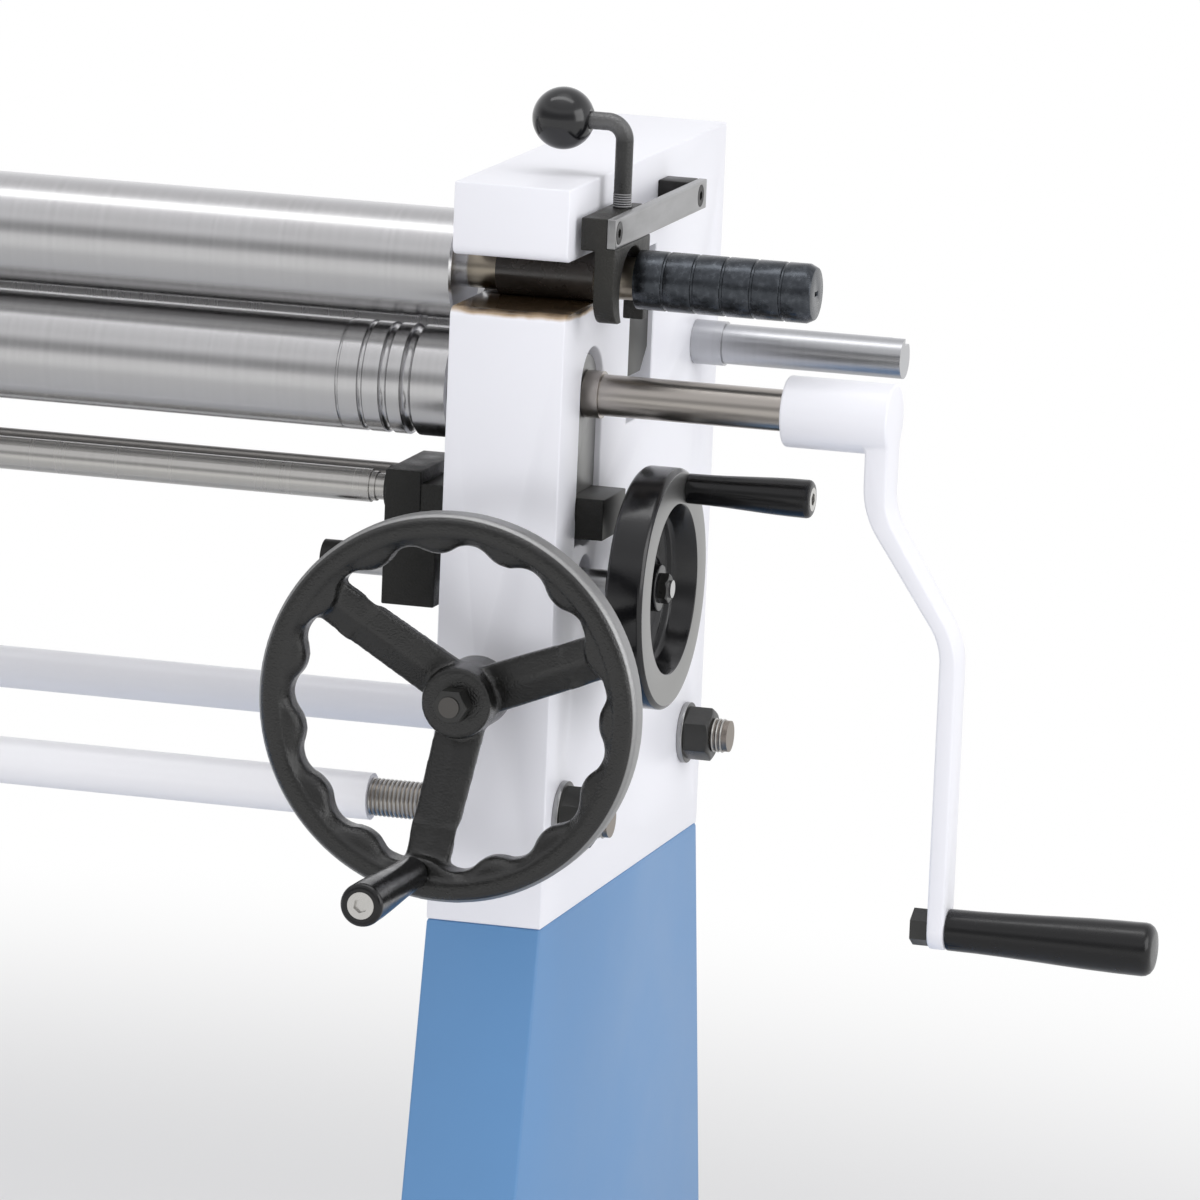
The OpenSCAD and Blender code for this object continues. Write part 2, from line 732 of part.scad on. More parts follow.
module lower_block_right() color([0.52, 0.53, 0.52]) lower_block();
module lower_block_left() color([0.52, 0.53, 0.52]) mirror([1, 0, 0]) lower_block();

module lift_block(reach) {
    block_w = slot_w - 2 * slide_gap;
    inner = x_in - bracket_gap;
    translate([inner, roll_y - block_w / 2, lift_z - lift_h / 2])
        cube([x_out + reach - inner, block_w, lift_h]);
}

module lift_block_right() color([0.15, 0.15, 0.14]) lift_block(lift_out);
module lift_block_left() color([0.15, 0.15, 0.14]) mirror([1, 0, 0]) lift_block(-block_recess);

// Bracket: holds the cross rods and the side handwheel's shaft inside the housing
bracket_front = roll_y - slot_w / 2;
bracket_rise = 17;
bracket_top = cross_z + bracket_rise;
bracket_cut = 12;
bracket_foot = 40;
foot_step = 12;
lobe_d = 31;
lobe_l = 5;
neck_share = 0.8;
neck_d = cross_d * neck_share;
rod_seat = bracket_t * neck_share;
bracket_x = x_in - bracket_gap - bracket_t;

module bracket_outline() difference() {
    translate([bracket_front, bracket_top - bracket_h]) square([bracket_l, bracket_h]);
    translate([bracket_front + bracket_l, bracket_top - bracket_h]) rotate(45)
        square([bracket_cut * sqrt(2), bracket_cut * sqrt(2)], center = true);
}

module lift_bracket() difference() {
    union() {
        slab_x(bracket_x, bracket_t) bracket_outline();
        slab_x(bracket_x + bracket_t - over, foot_step + over) intersection() {
            bracket_outline();
            translate([bracket_front, bracket_top - bracket_h]) square([bracket_l, bracket_foot]);
        }
        translate([0, roll_y, cross_z]) bar_x(bracket_x - lobe_l, lobe_l + over, lobe_d);
    }
    translate([0, roll_y, cross_z])
        bar_x(bracket_x - lobe_l - over, lobe_l + over + rod_seat, neck_d + run_gap);
    translate([0, roll_y + cross_gap, cross_z])
        bar_x(bracket_x - over, over + rod_seat, cross2_d + run_gap);
    translate([0, roll_y, side_z])
        bar_x(bracket_x - over, bracket_t + foot_step + 2 * over, side_shaft_d + run_gap);
}

module lift_bracket_right() color([0.17, 0.17, 0.17]) lift_bracket();
module lift_bracket_left() color([0.17, 0.17, 0.17]) mirror([1, 0, 0]) lift_bracket();

ring_l = 4;
neck_l = 8;
module cross_rod() color([0.55, 0.54, 0.52]) translate([0, roll_y, cross_z]) {
    main_half = bracket_x - lobe_l - neck_l - ring_l;
    bar_x(-main_half, 2 * main_half, cross_d);
    for (side = [0, 1]) mirror([side, 0, 0]) {
        bar_x(main_half - over, ring_l + over, (cross_d + neck_d) / 2);
        bar_x(main_half + ring_l - over, over + neck_l + lobe_l + rod_seat - side_gap, neck_d);
    }
}

module cross_rod_rear() color([0.34, 0.33, 0.32]) translate([0, roll_y + cross_gap, cross_z])
    bar_x(-(bracket_x + rod_seat - side_gap), 2 * (bracket_x + rod_seat - side_gap), cross2_d);

// Turned grip: slim at its base, fuller at its end, with a rounded end and a bore
grip_steps = 7;
grip_base_share = 0.78;
function grip_r(d, t) = d / 2 * (grip_base_share + (1 - grip_base_share) * pow(sin(90 * t), 2));
function grip_points(l, d, end_r) = concat(
    [[0, 0]],
    [for (i = [0 : grip_steps]) [grip_r(d, i / grip_steps), i * (l - end_r) / grip_steps]],
    [for (a = [22.5 : 22.5 : 90]) [d / 2 - end_r * (1 - cos(a)), l - end_r * (1 - sin(a))]],
    [[0, l]]);

module grip(l, d, end_r, bore, bore_l) difference() {
    turn_x() polygon(grip_points(l, d, end_r));
    bar_x(-over, bore_l + over, bore + run_gap);
}

// Spindle of a handwheel's grip: a shank through the rim and a capped end in the grip's mouth
spindle_d = 9;
cap_share = 0.62;
cap_deep = 5;
cap_hex_share = 0.3;
grip_gap = 0.6;
grip_end_r = 3.5;

module capped_grip(l, d) difference() {
    grip(l, d, grip_end_r, spindle_d, l);
    bar_x(l - cap_deep, cap_deep + over, cap_share * d + 2 * run_gap);
}

module grip_spindle(rim, l, d) difference() {
    union() {
        bar_x(-rim, rim + grip_gap + l - cap_deep + over, spindle_d);
        bar_x(grip_gap + l - cap_deep + run_gap, cap_deep + run_gap, cap_share * d);
    }
    hex_x(grip_gap + l - cap_deep / 2, cap_deep, cap_hex_share * d);
}

// Side handwheel: a dished wheel with a polished ring face and three holes in its web
side_rim_in = side_wheel_d / 2 - side_rim;
side_hub_d = 32;
side_hub_l = 34;
side_nut_h = 6;
side_front = x_out + side_stand_off;
side_back = side_front - side_depth;
side_nut_in = 9;
side_hub_front = side_front - side_nut_in;
side_hub_back = side_hub_front - side_hub_l;
side_web = 6;
side_holes = 3;
side_edge = 2.5;
side_grip_r = side_wheel_d / 2 - side_rim / 2;
side_grip_angle = 69;
side_pin_d = 12;
side_tail_x = bracket_x - 2 * bracket_t + over;
side_collar_l = 14;
side_collar_d = 25;

module side_wheel() color([0.1, 0.1, 0.11]) translate([0, roll_y, side_z]) difference() {
    union() {
        turn_x() polygon([[side_rim_in - side_web, side_back], [side_wheel_d / 2 - side_edge, side_back],
            [side_wheel_d / 2, side_back + side_edge], [side_wheel_d / 2, side_front - side_edge],
            [side_wheel_d / 2 - side_edge, side_front], [side_rim_in, side_front],
            [side_rim_in - side_web, side_back + side_web]]);
        turn_x() polygon([[side_hub_d / 2 - over, side_hub_back],
            [side_rim_in - side_web + over, side_back],
            [side_rim_in - side_web + over, side_back + side_web],
            [side_hub_d / 2 - over, side_hub_back + side_web]]);
        bar_x(side_hub_back, side_hub_l, side_hub_d);
    }
    bar_x(side_hub_back - over, side_hub_l + 2 * over, side_pin_d + run_gap);
    for (i = [0 : side_holes - 1]) rotate([i * 360 / side_holes, 0, 0])
        translate([0, (side_hub_d / 2 + side_rim_in) / 2 - side_web / 2, 0])
            bar_x(side_hub_back - over, side_hub_l + over, side_rim_in - side_hub_d / 2 - 2 * side_web);
    rotate([side_grip_angle, 0, 0]) translate([0, side_grip_r, 0])
        bar_x(side_back - over, side_depth + 2 * over, spindle_d + run_gap);
}

module side_shaft() color([0.6, 0.6, 0.6]) translate([0, roll_y, side_z]) {
    bar_x(side_tail_x + over, side_hub_back - side_tail_x - over, side_shaft_d);
    bar_x(side_hub_back - over, side_hub_l + side_nut_h + 3 * over, side_pin_d);
}

module side_collar() color([0.1, 0.1, 0.1]) translate([0, roll_y, side_z]) difference() {
    bar_x(side_tail_x, side_collar_l, side_collar_d);
    bar_x(side_tail_x - over, side_collar_l + 2 * over, side_shaft_d + run_gap);
}

module side_nut() color([0.16, 0.16, 0.16]) translate([0, roll_y, side_z])
    nut_x(side_hub_front, side_nut_h, nut_flats_share * side_pin_d, side_pin_d + run_gap);

module side_spindle() color([0.7, 0.7, 0.7]) translate([0, roll_y, side_z])
    rotate([side_grip_angle, 0, 0]) translate([side_front, side_grip_r, 0])
        grip_spindle(side_depth, side_grip_l, side_grip_d);

module side_grip() color([0.1, 0.1, 0.11]) translate([0, roll_y, side_z])
    rotate([side_grip_angle, 0, 0]) translate([side_front + grip_gap, side_grip_r, 0])
        capped_grip(side_grip_l, side_grip_d);

// Crank: a hub, and a flat bar that steps outwards on its way down to the handle
crank_end_x = crank_x + hub_l;
arm_in = crank_end_x - crank_t;
arm_in2 = arm_in + crank_step;
step_foot = crank_step_top + crank_step_h;
crank_pin_d = 12;
crank_nut_h = 12;
crank_nut_flats = 22;
crank_pin_share = 0.9;
crank_pin_l = crank_pin_share * crank_grip_l;

// Points of an arc of radius r that rounds the corner p between its neighbours a and b
crank_bend = 44;
bend_steps = 8;
function unit(v) = v / norm(v);
function bend(p, a, b, r) = let (u = unit(a - p), v = unit(b - p), half = acos(u * v) / 2,
    c = p + unit(u + v) * r / sin(half), s = p + u * r / tan(half) - c, e = p + v * r / tan(half) - c)
    [for (i = [0 : bend_steps]) c + r * unit(s * (bend_steps - i) + e * i)];

module crank_side() {
    out1 = [crank_end_x, -crank_step_top];
    out2 = [arm_in2 + crank_t2, -step_foot];
    in1 = [arm_in, -crank_step_top];
    in2 = [arm_in2, -step_foot];
    foot_z = -crank_r - crank_w2 / 2;
    polygon(concat([[arm_in, 0], [crank_end_x, 0]],
        bend(out1, [crank_end_x, 0], out2, crank_bend),
        bend(out2, out1, [arm_in2 + crank_t2, foot_z], crank_bend + crank_t),
        [[arm_in2 + crank_t2, foot_z], [arm_in2, foot_z]],
        bend(in2, [arm_in2, foot_z], in1, crank_bend),
        bend(in1, in2, [arm_in, 0], crank_bend + crank_t)));
}

module crank_front() {
    polygon([[-crank_w / 2, 0], [crank_w / 2, 0], [crank_w2 / 2, -step_foot], [crank_w2 / 2, -crank_r],
        [-crank_w2 / 2, -crank_r], [-crank_w2 / 2, -step_foot]]);
    translate([0, -crank_r]) circle(d = crank_w2);
}

module crank_arm() color([0.93, 0.93, 0.96]) translate([0, roll_y, low_z]) difference() {
    union() {
        bar_x(crank_x, hub_l, hub_d);
        intersection() {
            translate([0, crank_w / 2, 0]) rotate([90, 0, 0]) linear_extrude(crank_w) crank_side();
            slab_x(crank_x, hub_l + crank_step + crank_t2) crank_front();
        }
    }
    bar_x(crank_x - over, hub_bore_l + over, shaft_d + run_gap);
    translate([0, 0, -crank_r]) bar_x(arm_in2 - over, crank_t2 + 2 * over, crank_pin_d + run_gap);
}

module crank_nut() color([0.14, 0.14, 0.14]) translate([0, roll_y, low_z - crank_r]) {
    hex_x(arm_in2 - crank_nut_h, crank_nut_h, crank_nut_flats);
    bar_x(arm_in2 - over, over + crank_t2 + grip_gap + crank_pin_l - side_gap, crank_pin_d);
}

module crank_grip() color([0.1, 0.1, 0.1])
    translate([arm_in2 + crank_t2 + grip_gap, roll_y, low_z - crank_r])
        grip(crank_grip_l, crank_grip_d, crank_grip_d / 5, crank_pin_d, crank_pin_l);

// Rear roll and its bearing blocks
rear_wall = 10;
journal_seat = x_out - block_recess - rear_wall;

module rear_roll() color([0.66, 0.66, 0.67]) translate([0, rear_y, rear_z]) {
    roll_body(false);
    bar_x(-(journal_seat - side_gap), 2 * (journal_seat - side_gap), shaft_d);
}

module rear_block() difference() {
    block_w = rear_slot_w - 2 * slide_gap;
    slab_x(x_in, housing_w - block_recess) translate([rear_y, rear_z]) polygon([
        [-block_w / 2, -rear_block_h / 2], [block_w / 2 - rear_cut, -rear_block_h / 2],
        [block_w / 2, -rear_block_h / 2 + rear_cut], [block_w / 2, rear_block_h / 2],
        [-block_w / 2, rear_block_h / 2]]);
    translate([0, rear_y, rear_z]) bar_x(x_in - over, journal_seat - x_in + over, shaft_d + run_gap);
}

module rear_block_right() color([0.52, 0.53, 0.52]) rear_block();
module rear_block_left() color([0.52, 0.53, 0.52]) mirror([1, 0, 0]) rear_block();

// Rear shaft: a collar at each housing and a notched end on the right
rear_collar_h = 1.5;
rear_collar_d = shaft_d + 2 * rear_collar_h;
rear_collar_l = 22;
end_notch = [10, 5];

module rear_shaft() color([0.68, 0.68, 0.7]) translate([0, rear_shaft_y, rear_shaft_z]) difference() {
    union() {
        bar_x(-(x_out + rear_collar_l), 2 * x_out + rear_collar_l + rear_shaft_out, shaft_d);
        for (x = [x_out + side_gap, -(x_out + rear_collar_l)])
            bar_x(x, rear_collar_l - side_gap, rear_collar_d);
    }
    translate([x_out + rear_shaft_out - end_notch[0], 0, shaft_d / 2 - end_notch[1]])
        cube([end_notch[0] + over, shaft_d, end_notch[1] + over]);
}

// Front handwheel, drawn flat with its rim's back at zero and turned to face
// forwards. Its hub sits further back than its rim, so the spokes slope
wheel_r = wheel_d / 2;
rim_mean = wheel_r - wheel_rim;
wave_run = 2 * rim_mean * sin(90 / wave_n);
wave_arc = (4 * wave_h * wave_h + wave_run * wave_run) / (8 * wave_h);
wave_lap = 0.3;
rim_edge = 5;
rim_back = 3;
rim_step = 3;
spoke_turns = [23, 143, 263];
spoke_w = 34;
spoke_w2 = 30;
spoke_side = 8;
spoke_ridge = 13;
spoke_rim_z = 3;
spoke_hub_z = -34;
spoke_tilt = atan((spoke_rim_z - spoke_hub_z) / rim_mean);
spoke_end = rim_mean + wave_h * 2;
hub_front = 1;
hub_back = 52;
wheel_grip_r = 113;
wheel_grip_turn = 260.5;
wheel_boss_d = 22;
wheel_pin_d = 14;
wheel_nut_h = 14;
wheel_nut_flats = 21;
wheel_z = y_front - wheel_stand_off + wheel_depth;

// The rim's inner edge: hollows and bumps of one radius, running into each other
module wave_hole() difference() {
    union() {
        circle(r = rim_mean);
        for (i = [0 : wave_n - 1]) rotate((i + 1 / 2) * 360 / wave_n)
            translate([rim_mean + wave_h - wave_arc, 0]) circle(r = wave_arc);
    }
    for (i = [0 : wave_n - 1]) rotate(i * 360 / wave_n)
        translate([rim_mean - wave_h + wave_arc, 0]) circle(r = wave_arc + wave_lap);
}

module facing() translate([x_mid, wheel_z, screw_z]) rotate([90, 0, 0]) children();

// Spoke: a tapered bar with a ridge along its front, tilted back towards the hub
module spoke() intersection() {
    translate([0, 0, spoke_hub_z]) rotate([0, -spoke_tilt, 0]) rotate([90, 0, 90])
        linear_extrude(wheel_r) polygon([[-spoke_w / 2, 0], [spoke_w / 2, 0],
            [spoke_w / 2, spoke_side], [0, spoke_ridge], [-spoke_w / 2, spoke_side]]);
    translate([0, 0, -hub_back]) linear_extrude(hub_back + wheel_depth)
        polygon([[0, -spoke_w / 2 + over / 2], [spoke_end, -spoke_w2 / 2],
            [spoke_end, spoke_w2 / 2], [0, spoke_w / 2 - over / 2]]);
}

module wheel() facing() difference() {
    union() {
        difference() {
            rotate_extrude() polygon([[0, 0], [wheel_r - rim_edge, 0], [wheel_r, rim_edge],
                [wheel_r, wheel_depth - rim_edge], [wheel_r - rim_edge, wheel_depth],
                [wheel_r - rim_edge * 3, wheel_depth], [wheel_r - rim_edge * 3, wheel_depth - rim_step],
                [0, wheel_depth - rim_step]]);
            translate([0, 0, -over]) linear_extrude(wheel_depth + 2 * over) wave_hole();
        }
        for (a = spoke_turns) rotate(a) spoke();
        translate([0, 0, -hub_back]) cylinder(d = wheel_hub_d, h = hub_back + hub_front);
        rotate(wheel_grip_turn) translate([wheel_grip_r, 0, rim_back])
            cylinder(d = wheel_boss_d, h = wheel_depth - rim_back - rim_step - over);
    }
    translate([0, 0, -hub_back - over])
        cylinder(d = wheel_pin_d + run_gap, h = hub_back + hub_front + 2 * over);
    rotate(wheel_grip_turn) translate([wheel_grip_r, 0, -over])
        cylinder(d = spindle_d + run_gap, h = wheel_depth + 2 * over);
}

module wheel_screw() facing() {
    back = wheel_stand_off - wheel_depth + screw_in;
    translate([0, 0, -back]) cylinder(d = screw_d, h = back - hub_back);
    translate([0, 0, -hub_back - over])
        cylinder(d = wheel_pin_d, h = hub_back + hub_front + wheel_nut_h + 2 * over);
}

module wheel_nut() facing() translate([0, 0, hub_front]) rotate([0, -90, 0])
    nut_x(0, wheel_nut_h, wheel_nut_flats, wheel_pin_d + run_gap);

module wheel_spindle() facing() rotate(wheel_grip_turn) translate([wheel_grip_r, 0, wheel_depth])
    rotate([0, -90, 0]) grip_spindle(wheel_depth - rim_back, wheel_grip_l, wheel_grip_d);

module wheel_grip() facing() rotate(wheel_grip_turn)
    translate([wheel_grip_r, 0, wheel_depth + grip_gap]) rotate([0, -90, 0])
        capped_grip(wheel_grip_l, wheel_grip_d);

module wheel_right() color([0.13, 0.13, 0.12]) wheel();
module wheel_left() color([0.13, 0.13, 0.12]) mirror([1, 0, 0]) wheel();
module screw_right() color([0.5, 0.5, 0.5]) wheel_screw();
module screw_left() color([0.5, 0.5, 0.5]) mirror([1, 0, 0]) wheel_screw();
module wheel_nut_right() color([0.16, 0.16, 0.16]) wheel_nut();
module wheel_nut_left() color([0.16, 0.16, 0.16]) mirror([1, 0, 0]) wheel_nut();
module wheel_spindle_right() color([0.7, 0.7, 0.7]) wheel_spindle();
module wheel_spindle_left() color([0.7, 0.7, 0.7]) mirror([1, 0, 0]) wheel_spindle();
module wheel_grip_right() color([0.1, 0.1, 0.1]) wheel_grip();
module wheel_grip_left() color([0.1, 0.1, 0.1]) mirror([1, 0, 0]) wheel_grip();

foot_right();
foot_left();
stand_right();
stand_left();
housing_right();
housing_left();
tie_tube_front();
tie_tube_rear();
tie_studs();
tie_nuts();
gear_cover();
cover_screws();
top_gear();
top_roll();
top_bush();
top_swivel();
pull_grip();
latch_block();
latch_pin();
latch_arm();
latch_yoke();
latch_screw();
latch_lever();
latch_ball();
lower_roll();
lower_gear();
lower_block_right();
lower_block_left();
lift_block_right();
lift_block_left();
lift_bracket_right();
lift_bracket_left();
cross_rod();
cross_rod_rear();
side_wheel();
side_shaft();
side_collar();
side_nut();
side_spindle();
side_grip();
crank_arm();
crank_nut();
crank_grip();
rear_roll();
rear_block_right();
rear_block_left();
rear_shaft();
wheel_right();
wheel_left();
screw_right();
screw_left();
wheel_nut_right();
wheel_nut_left();
wheel_spindle_right();
wheel_spindle_left();
wheel_grip_right();
wheel_grip_left();
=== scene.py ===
import json
import math

import bmesh
import bpy
from mathutils import Matrix, Vector


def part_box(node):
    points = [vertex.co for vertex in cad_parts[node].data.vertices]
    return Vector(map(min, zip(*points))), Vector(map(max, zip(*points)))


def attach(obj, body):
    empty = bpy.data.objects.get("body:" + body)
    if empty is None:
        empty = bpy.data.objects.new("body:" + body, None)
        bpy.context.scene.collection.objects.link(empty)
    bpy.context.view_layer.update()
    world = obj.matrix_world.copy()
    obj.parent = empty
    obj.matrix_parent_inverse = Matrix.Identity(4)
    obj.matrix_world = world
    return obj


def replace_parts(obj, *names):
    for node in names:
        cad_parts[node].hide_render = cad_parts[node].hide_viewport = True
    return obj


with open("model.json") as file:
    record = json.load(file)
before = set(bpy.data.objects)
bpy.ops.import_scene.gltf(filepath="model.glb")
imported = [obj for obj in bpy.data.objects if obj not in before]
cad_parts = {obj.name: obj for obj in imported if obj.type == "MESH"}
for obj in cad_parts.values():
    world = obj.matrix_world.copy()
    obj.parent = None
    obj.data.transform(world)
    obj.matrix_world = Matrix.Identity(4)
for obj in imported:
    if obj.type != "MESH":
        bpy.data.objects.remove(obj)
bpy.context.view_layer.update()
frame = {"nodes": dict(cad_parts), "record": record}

# Camera: a long lens, six metres off at the crank's side and a little above
# the rolls, leaning a touch, so the machine runs out of the picture on the left.
camera_place = Vector((2.449, -6.197, 1.980))
camera_turn, camera_tip, camera_lean = math.radians(15.7), math.radians(10.47), math.radians(2.39)
camera_back = Vector((math.sin(camera_turn) * math.cos(camera_tip),
                      -math.cos(camera_turn) * math.cos(camera_tip), math.sin(camera_tip)))
camera_right = Vector((math.cos(camera_turn), math.sin(camera_turn), 0.0))
camera_up = camera_back.cross(camera_right)
lean_right = math.cos(camera_lean) * camera_right + math.sin(camera_lean) * camera_up
lean_up = math.cos(camera_lean) * camera_up - math.sin(camera_lean) * camera_right
camera_axes = Matrix((lean_right, lean_up, camera_back)).transposed().to_4x4()
camera = bpy.data.objects.new("camera", bpy.data.cameras.new("camera"))
camera.matrix_world = Matrix.Translation(camera_place) @ camera_axes
camera.data.lens = 286.4
camera.data.sensor_width = 36.0
camera.data.clip_end = 60.0
bpy.context.scene.collection.objects.link(camera)
bpy.context.scene.camera = camera
bpy.context.scene.view_settings.view_transform = "Standard"


# Floor: plain and pale, with the machine's shadow on it. It brightens to
# white away from the machine.
def added(nodes, kind, **settings):
    # A node with its settings
    made = nodes.new(kind)
    for setting, value in settings.items():
        setattr(made, setting, value)
    return made


floor_half, shadow_end, white_from = 30.0, 1.3, 2.6
floor_paint = bpy.data.materials.new("floor_paint")
floor_paint.use_nodes = True
nodes, links = floor_paint.node_tree.nodes, floor_paint.node_tree.links
floor_bsdf = nodes["Principled BSDF"]
floor_bsdf.inputs["Base Color"].default_value = (0.75, 0.75, 0.76, 1.0)
floor_bsdf.inputs["Roughness"].default_value = 0.7
floor_glow = nodes.new("ShaderNodeEmission")
floor_place = nodes.new("ShaderNodeTexCoord")
floor_far = added(nodes, "ShaderNodeVectorMath", operation="LENGTH")
floor_fade = added(nodes, "ShaderNodeMapRange", interpolation_type="SMOOTHSTEP")
floor_fade.inputs["From Min"].default_value = shadow_end
floor_fade.inputs["From Max"].default_value = white_from
floor_rays = nodes.new("ShaderNodeLightPath")
floor_seen = added(nodes, "ShaderNodeMath", operation="MAXIMUM")
floor_share = added(nodes, "ShaderNodeMath", operation="MULTIPLY")
floor_mix = nodes.new("ShaderNodeMixShader")
for start, end in ((floor_place.outputs["Object"], floor_far.inputs[0]),
                   (floor_far.outputs["Value"], floor_fade.inputs["Value"]),
                   (floor_rays.outputs["Is Camera Ray"], floor_seen.inputs[0]),
                   (floor_rays.outputs["Is Glossy Ray"], floor_seen.inputs[1]),
                   (floor_seen.outputs[0], floor_share.inputs[0]),
                   (floor_fade.outputs[0], floor_share.inputs[1]),
                   (floor_share.outputs[0], floor_mix.inputs[0]),
                   (floor_bsdf.outputs[0], floor_mix.inputs[1]),
                   (floor_glow.outputs[0], floor_mix.inputs[2]),
                   (floor_mix.outputs[0], nodes["Material Output"].inputs["Surface"])):
    links.new(start, end)
floor_corners = [(x * floor_half, y * floor_half, 0) for x, y in ((-1, -1), (1, -1), (1, 1), (-1, 1))]
floor_mesh = bpy.data.meshes.new("floor")
floor_mesh.from_pydata(floor_corners, [], [(0, 1, 2, 3)])
floor_mesh.materials.append(floor_paint)
floor = bpy.data.objects.new("floor", floor_mesh)
bpy.context.scene.collection.objects.link(floor)


# Studio room: white for the camera and an even fill on the object. Polished
# steel sees a room with a dark wall in front, a pale one behind and a bright top.
def shades(nodes, links, value, stops):
    # A value turned into colours by a list of places and colours
    ramp = nodes.new("ShaderNodeValToRGB")
    first, last = ramp.color_ramp.elements
    first.position, first.color = stops[0][0], (*stops[0][1], 1.0)
    last.position, last.color = stops[-1][0], (*stops[-1][1], 1.0)
    for place, colour in stops[1:-1]:
        ramp.color_ramp.elements.new(place).color = (*colour, 1.0)
    links.new(value, ramp.inputs["Fac"])
    return ramp.outputs["Color"]


def spread(nodes, links, value, low, high, start=0.3, stop=0.7):
    # A value from start to stop, stretched to run from low to high
    reach = nodes.new("ShaderNodeMapRange")
    reach.inputs["From Min"].default_value, reach.inputs["From Max"].default_value = start, stop
    reach.inputs["To Min"].default_value, reach.inputs["To Max"].default_value = low, high
    links.new(value, reach.inputs["Value"])
    return reach.outputs["Result"]


def joined(nodes, links, share, first, second):
    # Two colours mixed, each a socket or a plain value
    mix = added(nodes, "ShaderNodeMix", data_type="RGBA")
    for socket, given in ((mix.inputs[0], share), (mix.inputs[6], first), (mix.inputs[7], second)):
        if isinstance(given, bpy.types.NodeSocket):
            links.new(given, socket)
        else:
            socket.default_value = given if isinstance(given, float) else (*given, 1.0)
    return mix.outputs[2]


fill_strength, room_strength, wall_blue, wall_turn = 0.78, 1.6, 1.02, 0.35
front_wall = ((0.50, 0.36), (0.57, 0.22), (0.64, 0.25), (0.74, 0.62), (0.83, 0.52), (0.93, 0.60), (1.0, 0.9))
back_wall = ((0.50, 0.72), (0.67, 0.68), (0.89, 0.52), (0.96, 0.50), (1.0, 1.0))
studio = bpy.data.worlds.new("studio")
bpy.context.scene.world = studio
studio.use_nodes = True
nodes, links = studio.node_tree.nodes, studio.node_tree.links
studio_fill = nodes["Background"]
studio_fill.inputs["Color"].default_value = (1.0, 1.0, 1.0, 1.0)
studio_fill.inputs["Strength"].default_value = fill_strength
studio_white = nodes.new("ShaderNodeBackground")
studio_white.inputs["Color"].default_value = (1.0, 1.0, 1.0, 1.0)
studio_room = nodes.new("ShaderNodeBackground")
studio_room.inputs["Strength"].default_value = room_strength
room_axes = nodes.new("ShaderNodeSeparateXYZ")
links.new(nodes.new("ShaderNodeTexCoord").outputs["Generated"], room_axes.inputs[0])
room_height = spread(nodes, links, room_axes.outputs["Z"], low=0.0, high=1.0, start=-1.0, stop=1.0)
room_depth = spread(nodes, links, room_axes.outputs["Y"], low=0.0, high=1.0, start=-wall_turn, stop=wall_turn)
room_walls = []
for wall in (front_wall, back_wall):
    wall_stops = [(place, (shade, shade, shade * wall_blue)) for place, shade in wall]
    room_walls.append(shades(nodes, links, room_height, wall_stops))
links.new(joined(nodes, links, room_depth, *room_walls), studio_room.inputs["Color"])
room_rays = nodes.new("ShaderNodeLightPath")
room_gloss = added(nodes, "ShaderNodeMath", operation="MAXIMUM")
fill_or_room = nodes.new("ShaderNodeMixShader")
room_or_white = nodes.new("ShaderNodeMixShader")
for start, end in ((room_rays.outputs["Is Glossy Ray"], room_gloss.inputs[0]),
                   (room_rays.outputs["Is Transmission Ray"], room_gloss.inputs[1]),
                   (room_gloss.outputs[0], fill_or_room.inputs[0]),
                   (studio_fill.outputs[0], fill_or_room.inputs[1]),
                   (studio_room.outputs[0], fill_or_room.inputs[2]),
                   (room_rays.outputs["Is Camera Ray"], room_or_white.inputs[0]),
                   (fill_or_room.outputs[0], room_or_white.inputs[1]),
                   (studio_white.outputs[0], room_or_white.inputs[2]),
                   (room_or_white.outputs[0], nodes["World Output"].inputs["Surface"])):
    links.new(start, end)


# Lamps: large soft boxes at the right, overhead and low in front. The low one
# only lifts the shadows and leaves no second line of light on the rolls.
def soft_box(name, place, aim, width, height, power):
    lamp = bpy.data.lights.new(name, "AREA")
    lamp.shape, lamp.size, lamp.size_y, lamp.energy = "RECTANGLE", width, height, power
    holder = bpy.data.objects.new(name, lamp)
    holder.location = place
    holder.rotation_euler = (Vector(aim) - Vector(place)).to_track_quat("-Z", "Y").to_euler()
    bpy.context.scene.collection.objects.link(holder)
    return holder


machine_middle, machine_front = (0.4, 0.0, 0.8), (0.4, 0.0, 0.60)
soft_box("light_right", place=(4.6, -0.9, 2.1), aim=machine_middle, width=2.6, height=2.6, power=48.0)
soft_box("light_over", place=(0.4, -0.5, 4.8), aim=machine_middle, width=5.0, height=0.9, power=32.0)
light_front = soft_box("light_front", place=(-0.4, -5.2, 0.45), aim=machine_front,
                       width=3.6, height=0.9, power=40.0)
light_front.visible_glossy = False

# Foot plates and stands: folded sheet steel columns welded to anchor plates,
# powder coated light blue. The coat softens each fold and has an even grain.
body_of = {node: body for body, nodes in frame["record"]["behaviour"]["bodies"].items() for node in nodes}
slot_of = {part["node"]: part["material_slot"] for part in frame["record"]["subparts"]}


def finish_nodes(name, colour, rough, metal=0.0):
    # A new material with its plain values, to be given detail
    material = bpy.data.materials.new(name)
    material.use_nodes = True
    bsdf = material.node_tree.nodes["Principled BSDF"]
    bsdf.inputs["Base Color"].default_value = (*colour, 1.0)
    bsdf.inputs["Roughness"].default_value = rough
    bsdf.inputs["Metallic"].default_value = metal
    return material, material.node_tree.nodes, material.node_tree.links, bsdf


